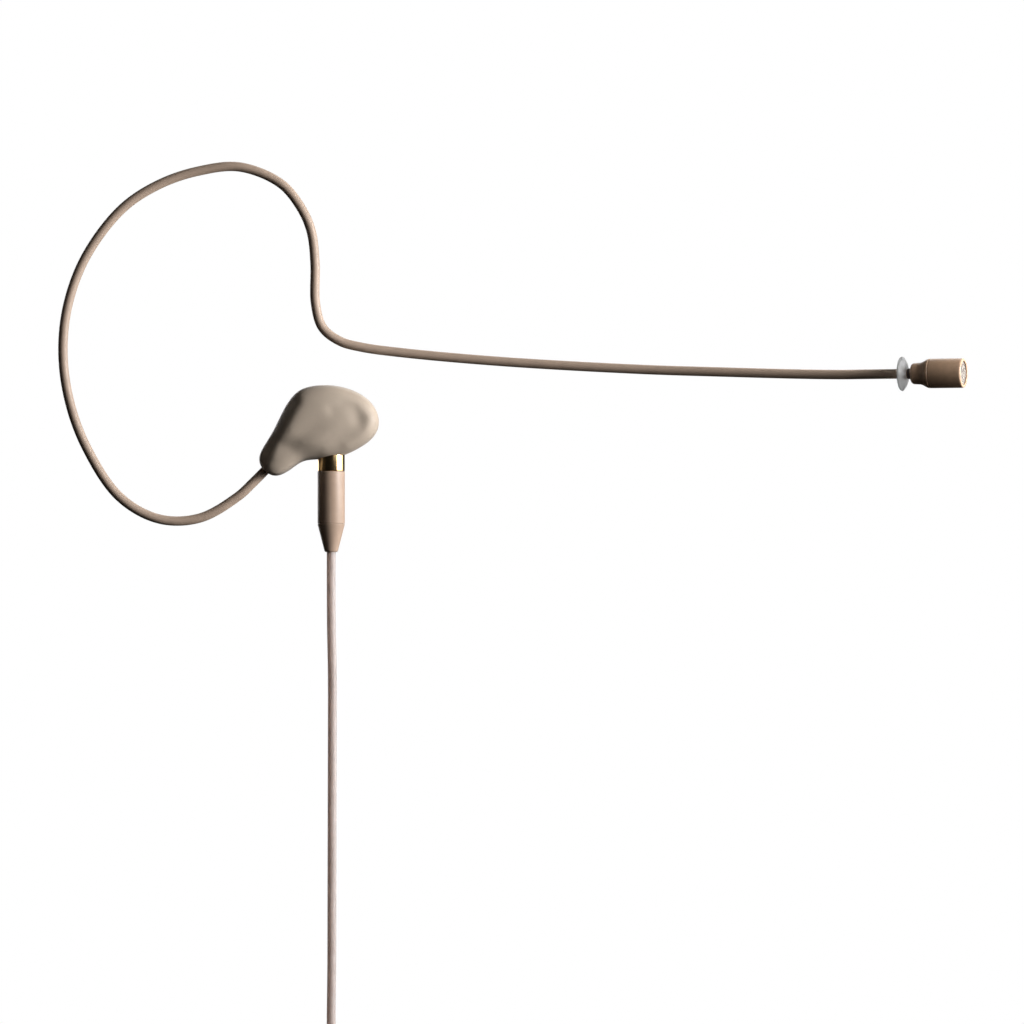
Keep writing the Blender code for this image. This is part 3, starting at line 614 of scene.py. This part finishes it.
# ---------------------------------------------------------------- formable wire
# Distances along the wire, and the body or bodies that each stretch follows. The last stretch
# goes on to the wire's end.
STRETCHES = (
    ("hook_rear", 0.0, 97.0, ("hook_rear",)),
    ("crown_bend", 97.0, 119.0, ("hook_rear", "hook_front")),
    ("hook_front", 119.0, 152.0, ("hook_front",)),
    ("elbow_bend", 152.0, 170.0, ("hook_front", "boom_root")),
    ("swing_bend", 170.0, 190.0, ("boom_root", "boom_mid")),
    ("boom_mid", 190.0, 244.0, ("boom_mid",)),
    ("tip_bend", 244.0, 255.0, ("boom_mid", "boom_tip")),
    ("boom_tip", 255.0, 999.0, ("boom_tip",)),
)


def build_wire():
    """The sheath, forming wire and signal lead in stretches whose ends coincide."""
    end = [CAPSULE_REAR - CAPSULE_AXIS * back for back in STRAIGHT_END]
    route, step = spaced(smooth_curve(list(EAR_LOOP) + list(BOOM) + end), WIRE_STEP)
    frames = route_frames(route)
    layers = (
        ("sheath", "cocoa_sheath", SHEATH_RADIUS, 28, SHEATH_BORE, 0.0),
        ("forming_wire", "spring_steel", FORMING_WIRE_RADIUS, 12, 0.0, WIRE_SHIFT),
        ("signal_lead", "lead_insulation", SIGNAL_LEAD_RADIUS, 12, 0.0, -WIRE_SHIFT),
    )
    for stretch, start, stop, bodies in STRETCHES:
        first = round(start / step)
        last = min(round(stop / step), len(frames) - 1)
        part = frames[first:last + 1]
        for layer, slot, radius, sides, bore, shift in layers:
            bm = add_tube(bmesh.new(), part, radius, sides, bore, shift)
            replaced = ["%s_%s" % (body, layer) for body in bodies]
            piece = add_piece("%s_%s_fine" % (stretch, layer), bm, slot, None, replaced)
            if len(bodies) == 1:
                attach(piece, bodies[0])
            else:
                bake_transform(piece)


# ---------------------------------------------------------------- capsule
def capsule_place(back=0.0):
    """Z runs along the capsule's axis from the neck's rear face."""
    turn = Matrix.Rotation(CAPSULE_YAW, 4, "Z") @ Matrix.Rotation(math.pi / 2, 4, "Y")
    return Matrix.Translation(CAPSULE_REAR - CAPSULE_AXIS * back) @ turn


def build_capsule():
    """The capsule's turned shells, its woven grille, and the moisture disc behind it."""
    place = capsule_place()
    housing = (
        (1.05, -0.40), (1.50, -0.40), (1.76, -0.26), (1.90, 0.05), (1.94, 0.70), (1.96, 1.20),
        (2.04, 1.55), (2.20, 1.90), (2.42, 2.28), (2.57, 2.60), (2.64, 2.88), (2.65, 3.05),
        (2.20, 3.05), (2.20, 3.95), (1.98, 3.95), (1.98, 4.65), (2.20, 4.65), (2.20, 8.30),
        (1.80, 8.30), (1.80, 2.85), (1.05, 2.85),
    )
    add_piece("capsule_housing_fine", turned(softened(housing, 0.05), 96), "cocoa_metal",
              "boom_tip", ["capsule_housing"], place)
    seal = turned(pipe(2.28, 2.03, 4.05, 4.55, 0.2), 72)
    add_piece("cap_seal_fine", seal, "rubber_seal", "boom_tip", ["cap_seal"], place)
    collar = softened(((0.885, -1.12), (0.93, -1.12), (1.02, -0.42), (0.885, -0.42)), 0.02)
    add_piece("neck_collar_fine", turned(collar, 48), "rubber_seal", "boom_tip", ["neck_collar"], place)
    cap = (
        (2.38, 3.17), (2.65, 3.17), (2.65, 9.02), (2.60, 9.20), (2.46, CAPSULE_LENGTH),
        (2.19, CAPSULE_LENGTH), (2.12, 9.22), (2.12, 9.0), (2.38, 9.0),
    )
    add_piece("grille_cap_fine", turned(softened(cap, 0.05), 96), "cocoa_metal",
              "cap", ["grille_cap"], place)
    add_piece("grille_mesh_fine", woven_disc(MESH_RADIUS, MESH_PITCH, MESH_WIRE),
              "silver_mesh", "cap", ["grille_mesh"],
              place @ Matrix.Translation((0.0, 0.0, MESH_HEIGHT)))
    can = ((1.50, 3.20), (1.68, 3.20), (1.68, 8.00), (0.50, 8.00), (0.50, 7.82), (1.50, 7.82))
    add_piece("cartridge_can_fine", turned(softened(can, 0.08), 64), "nickel",
              "boom_tip", ["cartridge_can"], place)
    front, back = [], []
    for k in range(13):
        share = k / 12
        radius = DISC_BORE + (DISC_RADIUS - DISC_BORE) * share
        dome = 1.0 - share ** 1.8
        front.append((radius, DISC_HALF_RIM + DISC_FRONT_DOME * dome))
        back.append((radius, -DISC_HALF_RIM - DISC_BACK_DOME * dome))
    disc = back + [(DISC_RADIUS + 0.10, 0.0)] + front[::-1]
    add_piece("moisture_disc_fine", turned(disc, 96), "clear_silicone",
              "disc", ["moisture_disc"], capsule_place(DISC_BACK))


def woven_disc(radius, pitch, wire):
    """A round piece of plain-woven wire mesh, in the X-Y plane, a little domed."""
    bm = bmesh.new()
    count = int(radius / pitch)
    for across in (0, 1):
        for i in range(-count, count + 1):
            offset = i * pitch
            half = math.sqrt(max(0.0, radius ** 2 - offset ** 2))
            if half < 2 * pitch:
                continue
            steps = max(6, round(2 * half / pitch * 4))
            line = []
            for k in range(steps + 1):
                run = -half + 2 * half * k / steps
                phase = math.cos(math.pi * run / pitch) * (-1) ** (i + across)
                lift = wire * phase + MESH_DOME * (1.0 - (run ** 2 + offset ** 2) / radius ** 2)
                line.append(Vector((offset, run, lift) if across else (run, offset, lift)))
            add_tube(bm, route_frames(line), wire, 6)
    return bm


# ---------------------------------------------------------------- earpiece
EARPIECE_OUTLINE = (
    (5.7, -53.2), (8.4, -48.0), (11.5, -42.2), (13.6, -40.3), (18.3, -39.5), (23.4, -40.6),
    (26.8, -43.1), (28.0, -46.5), (26.8, -49.3), (21.8, -52.4), (17.5, -53.2), (13.9, -53.6),
    (10.6, -55.8), (8.7, -56.4), (6.7, -55.4),
)
EARPIECE_SPINE = ((8.4, -53.7, 3.5), (12.5, -49.0, 4.5), (17.5, -46.2, 4.6), (23.2, -46.2, 3.9))
TAIL_AXIS = Vector((1.0, 0.0, 1.0)).normalized()
TAIL_ENTRY = Vector((7.0, 0.0, -55.2))
PILLOW_TOP_LEAN = math.radians(84.0)
PILLOW_FULLNESS = 0.62
CORE_OUTLINE = (
    (11.0, -49.0), (12.6, -45.2), (14.8, -42.4), (18.5, -41.3), (22.8, -42.0), (25.7, -44.4),
    (26.2, -46.6), (24.6, -48.8), (20.5, -50.4), (15.5, -50.9), (12.4, -50.8),
)
CORE_SPINE = ((13.6, -48.4, 2.1), (17.5, -46.2, 3.3), (22.4, -46.0, 3.0))
ROUGH_VOXEL = 0.28
ROUGH_PASSES = 30
# The two broad faces, beyond this distance from the middle plane, are smoothed this many times
FACE_BEYOND = 2.6
FACE_PASSES = 60
# Radii of the ways cut into the earpiece, and the heights between which two of them run
WIRE_WAY = 0.95
FERRULE_WAY = 1.6
COLLAR_WAY = 2.56
BARREL_WAY = 2.12
WAYS_LOW = -58.0
COLLAR_WAY_TOP = -49.4
BARREL_WAY_TOP = -46.4


def nearest_on_spine(spine, x, z):
    """The spine's point nearest to (x, z), with its half thickness."""
    best = None
    for a, b in zip(spine, spine[1:]):
        run, rise = b[0] - a[0], b[1] - a[1]
        share = ((x - a[0]) * run + (z - a[1]) * rise) / (run * run + rise * rise)
        share = min(1.0, max(0.0, share))
        found = [p + (q - p) * share for p, q in zip(a, b)]
        gap = math.hypot(x - found[0], z - found[1])
        if best is None or gap < best[0]:
            best = (gap, found)
    return best[1]


def pillow(outline, spine, around, tiers, inset=0.0):
    """A domed body: the outline in the X-Z plane, swelling along Y about the spine."""
    curve = smooth_curve([(x, 0.0, z) for x, z in outline], closed=True)
    edge, _ = spaced(curve + [curve[0].copy()], 1.0)
    edge, _ = spaced(edge, sum((b - a).length for a, b in zip(edge, edge[1:])) / around)
    spine = [(p.x, p.z, p.y) for p in smooth_curve([(x, thick, z) for x, z, thick in spine])]
    bm = bmesh.new()
    rings = []
    for tier in range(-tiers, tiers + 1):
        lean = PILLOW_TOP_LEAN * tier / tiers
        ring = []
        for corner in edge[:-1]:
            x, z, thickness = nearest_on_spine(spine, corner.x, corner.z)
            reach = Vector((corner.x - x, 0.0, corner.z - z))
            reach *= (reach.length - inset) / reach.length * math.cos(lean) ** PILLOW_FULLNESS
            rise = (abs(math.sin(lean)) / math.sin(PILLOW_TOP_LEAN)) ** PILLOW_FULLNESS
            rise *= math.copysign(thickness - inset, lean)
            ring.append(bm.verts.new((x + reach.x, rise, z + reach.z)))
        rings.append(ring)
    join_rings(bm, rings)
    bmesh.ops.triangulate(bm, faces=[bm.faces.new(rings[0]), bm.faces.new(rings[-1])])
    return bm


def hollow(x, z, at, size, depth, tilt=0.0):
    """Depth of an oval dent, soft all round, at a point of the X-Z plane."""
    dx, dz = x - at[0], z - at[1]
    across = dx * math.cos(tilt) + dz * math.sin(tilt)
    along = -dx * math.sin(tilt) + dz * math.cos(tilt)
    return depth * math.exp(-((across / size[0]) ** 2 + (along / size[1]) ** 2))


def furrow(x, z, path, width, depth):
    """Depth of a groove along a polyline of the X-Z plane."""
    here = Vector((x, z))
    near = 1e9
    for a, b in zip(path, path[1:]):
        a, b = Vector(a), Vector(b)
        share = min(1.0, max(0.0, (here - a).dot(b - a) / (b - a).length_squared))
        near = min(near, (here - a.lerp(b, share)).length)
    return depth * math.exp(-(near / width) ** 2)


def sculpt(co):
    """The moulded earpiece's dents and swellings, as a move of one point in millimetres."""
    x, y, z = co
    # The hollow, the crescent over it, the valley over the wire's tail, the thinned left edge
    # and the ridge
    sink = hollow(x, z, (24.0, -45.9), (1.4, 1.7), 0.18, 0.5)
    sink += furrow(x, z, ((19.6, -44.2), (21.6, -43.3), (23.4, -43.9), (24.4, -45.4)), 1.2, 0.15)
    sink += furrow(x, z, ((10.4, -50.7), (13.0, -51.8), (16.4, -52.8)), 1.7, 0.33)
    sink += furrow(x, z, ((6.1, -54.0), (8.6, -48.6), (11.2, -43.8), (12.0, -42.6)), 1.15, 0.72)
    sink -= furrow(x, z, ((22.2, -50.6), (25.6, -48.2), (26.6, -46.0)), 1.0, 0.16)
    flat = min(1.0, abs(y) / 2.0)
    # The far face has the same shapes at half their depth
    side = 1.0 if y < 0 else 0.5
    co.y += (1.0 if y < 0 else -1.0) * sink * flat * side
    return co


def evaluated(name, bm, modifiers):
    """The mesh that a bmesh becomes under modifiers, given as (kind, settings)."""
    mesh = bpy.data.meshes.new(name)
    bmesh.ops.recalc_face_normals(bm, faces=bm.faces)
    bm.to_mesh(mesh)
    bm.free()
    source = bpy.data.objects.new(name, mesh)
    bpy.context.collection.objects.link(source)
    for kind, settings in modifiers:
        modifier = source.modifiers.new(kind, kind)
        for key, value in settings.items():
            setattr(modifier, key, value)
    depsgraph = bpy.context.evaluated_depsgraph_get()
    made = bmesh.new()
    made.from_mesh(bpy.data.meshes.new_from_object(source.evaluated_get(depsgraph)))
    bpy.data.objects.remove(source)
    return made


def cutter_object(name, bm):
    """A bmesh as an object for a Boolean to cut with."""
    bmesh.ops.recalc_face_normals(bm, faces=bm.faces)
    mesh = bpy.data.meshes.new(name)
    bm.to_mesh(mesh)
    bm.free()
    cutter = bpy.data.objects.new(name, mesh)
    bpy.context.collection.objects.link(cutter)
    return cutter


def rod(start, end, radius, sides=64):
    """A round bar between two points."""
    line = [Vector(start).lerp(Vector(end), share) for share in (0.0, 0.5, 1.0)]
    return add_tube(bmesh.new(), route_frames(line), radius, sides)


def tail_rod(start, end, radius):
    """A bar along the wire's way into the earpiece, between distances from its entry."""
    return rod(TAIL_ENTRY + TAIL_AXIS * start, TAIL_ENTRY + TAIL_AXIS * end, radius)


def upright_rod(low, high, radius):
    """An upright bar on the connector's axis."""
    return rod((CONNECTOR_X, 0.0, low), (CONNECTOR_X, 0.0, high), radius)


def build_earpiece():
    """The moulded earpiece: smoothed, dented, and cut for its core, the wire and the collar."""
    body = evaluated("earpiece_rough", pillow(EARPIECE_OUTLINE, EARPIECE_SPINE, 110, 16), [
        ("REMESH", {"mode": "VOXEL", "voxel_size": ROUGH_VOXEL}),
        ("SMOOTH", {"factor": 0.6, "iterations": ROUGH_PASSES}),
    ])
    faces_out = [vert for vert in body.verts if abs(vert.co.y) > FACE_BEYOND]
    for _ in range(FACE_PASSES):
        bmesh.ops.smooth_vert(body, verts=faces_out, factor=0.5, use_axis_y=True)
    for vert in body.verts:
        vert.co = sculpt(vert.co)
    cutters = [
        cutter_object("cavity", pillow(CORE_OUTLINE, CORE_SPINE, 60, 8)),
        cutter_object("wire_way", tail_rod(-5.0, 2.0, WIRE_WAY)),
        cutter_object("ferrule_way", tail_rod(1.0, 7.2, FERRULE_WAY)),
        cutter_object("collar_way", upright_rod(WAYS_LOW, COLLAR_WAY_TOP, COLLAR_WAY)),
        cutter_object("barrel_way", upright_rod(WAYS_LOW, BARREL_WAY_TOP, BARREL_WAY)),
    ]
    cuts = [("BOOLEAN", {"operation": "DIFFERENCE", "object": cutter}) for cutter in cutters]
    smooth = [("SMOOTH", {"factor": 0.5, "iterations": 2})]
    body = evaluated("earpiece_body", body, smooth + cuts)
    for cutter in cutters:
        bpy.data.objects.remove(cutter)
    # The cuts leave many-sided faces. Ear clipping, an export's usual way to split them, would
    # give some edges more than two triangles, and this way doesn't.
    wide_faces = [face for face in body.faces if len(face.verts) > 3]
    bmesh.ops.triangulate(body, faces=wide_faces, quad_method="BEAUTY", ngon_method="BEAUTY")
    add_piece("earpiece_skin_fine", body, "taupe_silicone", "hook_rear", ["earpiece_skin"], edge=50.0)



# ---------------------------------------------------------------- connector under the earpiece
THREAD_PITCH = 0.7
THREAD_DEPTH = 0.2
THREAD_TOP = -55.7
THREAD_BOTTOM = -59.3
THREAD_FADE = 0.3
THREADED_BEYOND = 1.7
NUT_SEAT = -61.2


def on_connector():
    """Where a body turned about Z stands on the connector's axis."""
    return Matrix.Translation((CONNECTOR_X, 0.0, 0.0))


def build_connector():
    """The gold collar, threaded barrel, coupling nut and strain relief under the earpiece."""
    place = on_connector()
    low, high = box("gold_collar")
    collar = ((2.02, low.z), (2.44, low.z), (2.50, low.z + 0.08), (2.50, high.z), (2.02, high.z))
    add_piece("gold_collar_fine", turned(softened(collar, 0.05), 96), "gold",
              "hook_rear", ["gold_collar"], place)
    low, high = box("socket_barrel")
    barrel = [(1.35, low.z), (1.85, low.z), (1.85, high.z), (1.35, high.z)]
    barrel = turned(divided(softened(barrel, 0.08), 0.09), 64)
    add_piece("socket_barrel_fine", reshape(barrel, screw_thread), "nickel",
              "hook_rear", ["socket_barrel"], place)
    top, bottom = NUT_HIGH.z + 0.10, NUT_LOW.z - 0.08
    nut = (
        (2.05, top), (NUT_RADIUS - 0.07, top), (NUT_RADIUS, top - 0.10), (NUT_RADIUS, bottom),
        (2.28, bottom), (2.28, bottom + 0.40), (1.62, bottom + 0.40), (1.62, NUT_SEAT), (2.05, NUT_SEAT),
    )
    add_piece("coupling_nut_fine", turned(softened(nut, 0.04), 96), "beige_paint",
              "nut", ["coupling_nut"], place)
    low, high = box("strain_relief")
    relief = (
        (0.84, low.z), (1.08, low.z), (1.25, low.z + 0.2), (NUT_RADIUS, high.z - 0.1),
        (NUT_RADIUS - 0.04, high.z), (2.20, high.z), (2.20, high.z + 0.30), (1.95, high.z + 0.30),
        (1.95, high.z - 0.2), (1.05, low.z + 1.3), (0.84, low.z + 1.3),
    )
    add_piece("strain_relief_fine", turned(softened(relief, 0.12), 96), "beige_paint",
              "plug", ["strain_relief"], place)


def screw_thread(radius, angle, height):
    """The barrel's outer wall cut with a helical thread below the gold collar."""
    if radius < THREADED_BEYOND or not THREAD_BOTTOM < height < THREAD_TOP:
        return radius
    phase = (height / THREAD_PITCH - angle / math.tau) % 1.0
    fade = min(1.0, (THREAD_TOP - height) / THREAD_FADE, (height - THREAD_BOTTOM) / THREAD_FADE)
    return radius - THREAD_DEPTH * fade * abs(2.0 * phase - 1.0)


# ---------------------------------------------------------------- far-end connector
BOOT_RIBS = 6
BOOT_RIB_PITCH = 1.25
SHELL_BORE = 4.15
KNURL_DEPTH = 0.16
KNURL_COUNT = 18
KNURL_TWIST = 3.6
KNURL_FADE = 0.4
LATCH_SLOT = (3.5, 4.5, 6.5)
LATCH_SLOT_Y = -4.9


def build_far_end():
    """The ribbed boot, the knurled shell with its slot, and the latch button in the slot."""
    place = on_connector()
    low, high = box("end_boot")
    boot = [(0.86, high.z), (1.40, high.z), (1.55, high.z - 0.3)]
    for i in range(BOOT_RIBS):
        top = high.z - 1.2 - i * BOOT_RIB_PITCH
        outer = 1.62 + 0.11 * i
        boot += [(outer, top), (outer - 0.38, top - 0.12)]
        boot += [(outer - 0.36, top - 0.5), (outer + 0.08, top - 0.62)]
    boot += [(2.6, low.z + 3.6), (3.3, low.z), (1.05, low.z), (1.05, high.z - 3.0), (0.86, high.z - 3.0)]
    boot = add_piece("end_boot_fine", turned(softened(boot, 0.10), 64), "boot_rubber",
                     "plug", ["end_boot"], place)
    low, high = box("end_shell")
    radius = (high.x - low.x) / 2
    shell = (
        (1.6, high.z), (3.5, high.z), (radius - 0.25, high.z - 2.2), (radius, high.z - 2.8),
        (radius, high.z - 15.0), (radius - 0.18, high.z - 15.2), (radius - 0.18, high.z - 15.8),
        (radius, high.z - 16.0), (radius, low.z + 0.1), (radius - 0.15, low.z), (SHELL_BORE, low.z),
        (SHELL_BORE, high.z - 3.2), (1.6, high.z - 1.2),
    )
    grip_top, grip_bottom = high.z - 16.4, low.z + 1.6

    def knurl(r, angle, height):
        """The grip's wall, cut by two crossing sets of shallow grooves."""
        if r < radius - 0.1 or not grip_bottom < height < grip_top:
            return r
        fade = min(1.0, (grip_top - height) / KNURL_FADE, (height - grip_bottom) / KNURL_FADE)
        around, twist = KNURL_COUNT * angle, KNURL_TWIST * height
        cut = abs(math.sin(around + twist)) * abs(math.sin(around - twist))
        return r - KNURL_DEPTH * fade * (1.0 - cut)

    bm = reshape(turned(divided(softened(shell, 0.10), 0.22), 216), knurl)
    slot = cutter_object("latch_slot", latch_block(LATCH_SLOT, 0.3))
    latch_low, latch_high = box("end_latch")
    slot.location = (0.0, LATCH_SLOT_Y, latch_low.z / 2 + latch_high.z / 2)
    bm = evaluated("end_shell_cut", bm, [("BOOLEAN", {"operation": "DIFFERENCE", "object": slot})])
    bpy.data.objects.remove(slot)
    shell = add_piece("end_shell_fine", bm, "satin_black", "plug", ["end_shell"], place, edge=30.0)
    size = (latch_high.x - latch_low.x, latch_high.y - latch_low.y, latch_high.z - latch_low.z)
    latch = latch_block(size, 0.25)
    latch = add_piece("end_latch_fine", latch, "nickel", "latch", ["end_latch"],
                      Matrix.Translation((latch_low + latch_high) / 2))
    return [boot, shell, latch]


def latch_block(size, ease):
    """A block with rounded edges, centred on its origin."""
    bm = bmesh.new()
    bmesh.ops.create_cube(bm, size=1.0)
    bmesh.ops.scale(bm, vec=size, verts=bm.verts)
    bmesh.ops.bevel(bm, geom=bm.edges[:], offset=ease, segments=4, affect="EDGES", profile=0.5)
    return bm


# ---------------------------------------------------------------- studio
LIT_CENTRE = Vector((0.03, 0.0, -0.05))
FLOOR_CENTRE = (0.03, -0.05, -0.262)
FLOOR_RADIUS = 0.72
FLOOR_FADE = (0.25, 0.70)
# The world's strength for the rays that only light the object
WORLD_FILL = 0.005


def add_softbox(name, azimuth, elevation, size, radiance, colour=(1.0, 1.0, 1.0), distance=0.8):
    """A rectangular light facing the object; azimuth 0 is on the camera's side and 90 at +X."""
    around, up = math.radians(azimuth), math.radians(elevation)
    toward = Vector((
        math.sin(around) * math.cos(up), -math.cos(around) * math.cos(up), math.sin(up),
    ))
    data = bpy.data.lights.new(name, "AREA")
    data.shape = "RECTANGLE"
    data.size, data.size_y = size
    data.energy = radiance * math.pi * size[0] * size[1]
    data.color = colour
    light = bpy.data.objects.new(name, data)
    light.location = LIT_CENTRE + toward * distance
    light.rotation_euler = toward.to_track_quat("Z", "Y").to_euler()
    light.visible_camera = False
    bpy.context.collection.objects.link(light)


def build_studio():
    """Strong side light from the wearer's front, with weak fill all round."""
    add_softbox("key", 69.0, 14.0, (0.19, 0.19), 27.0, distance=0.5)
    add_softbox("panel", 85.0, 5.0, (0.60, 0.38), 2.8, distance=0.5)
    add_softbox("front", 38.0, 24.0, (0.30, 0.30), 1.2, distance=0.5)
    add_softbox("left_fill", -80.0, 10.0, (0.9, 0.9), 0.02, (1.0, 0.82, 0.6))
    add_softbox("back", 165.0, 35.0, (0.5, 0.5), 2.0)
    add_softbox("rear_left", -150.0, 10.0, (0.5, 0.5), 2.2)
    add_world()
    add_floor()


def add_world():
    """White behind the object and through clear pieces, and nearly dark as a light."""
    world = bpy.data.worlds.new("studio")
    world.use_nodes = True
    tree = world.node_tree
    background = tree.nodes["Background"]
    background.inputs["Color"].default_value = (1.0, 1.0, 1.0, 1.0)
    path = tree.nodes.new("ShaderNodeLightPath")
    seen = tree.nodes.new("ShaderNodeMath")
    seen.operation = "MAXIMUM"
    tree.links.new(path.outputs["Is Camera Ray"], seen.inputs[0])
    tree.links.new(path.outputs["Is Transmission Ray"], seen.inputs[1])
    strength = tree.nodes.new("ShaderNodeMapRange")
    strength.inputs["To Min"].default_value = WORLD_FILL
    strength.inputs["To Max"].default_value = 1.0
    tree.links.new(seen.outputs[0], strength.inputs["Value"])
    tree.links.new(strength.outputs[0], background.inputs["Strength"])
    bpy.context.scene.world = world
    bpy.context.scene.view_settings.view_transform = "Standard"


def add_floor():
    """A pale round floor under the hanging connector, fading into the white around it."""
    bm = bmesh.new()
    bmesh.ops.create_circle(bm, cap_ends=True, radius=FLOOR_RADIUS, segments=96)
    bmesh.ops.translate(bm, vec=FLOOR_CENTRE, verts=bm.verts)
    mesh = bpy.data.meshes.new("floor")
    bm.to_mesh(mesh)
    bm.free()
    floor = bpy.data.objects.new("floor", mesh)
    bpy.context.collection.objects.link(floor)
    material = bpy.data.materials.new("floor")
    material.use_nodes = True
    shader = material.node_tree.nodes["Principled BSDF"]
    shader.inputs["Roughness"].default_value = 0.8
    shader.inputs["Base Color"].default_value = (0.28, 0.275, 0.27, 1.0)
    shader.inputs["Emission Color"].default_value = (1.0, 0.99, 0.98, 1.0)
    shader.inputs["Emission Strength"].default_value = 0.66
    place = node_of(material, "ShaderNodeTexCoord").outputs["Object"]
    far = node_of(
        material, "ShaderNodeVectorMath", [(0, place), (1, FLOOR_CENTRE)], operation="DISTANCE",
    ).outputs["Value"]
    alpha = ranged(material, far, FLOOR_FADE, (1.0, 0.0), interpolation_type="SMOOTHSTEP")
    material.node_tree.links.new(alpha, shader.inputs["Alpha"])
    mesh.materials.append(material)
    floor.visible_diffuse = False
    floor.visible_glossy = False


FINISHES = make_finishes()
add_camera()
dress_frame()
cable = build_cable()
ties = build_ties()
build_wire()
build_capsule()
build_earpiece()
build_connector()
far_end = build_far_end()
build_studio()
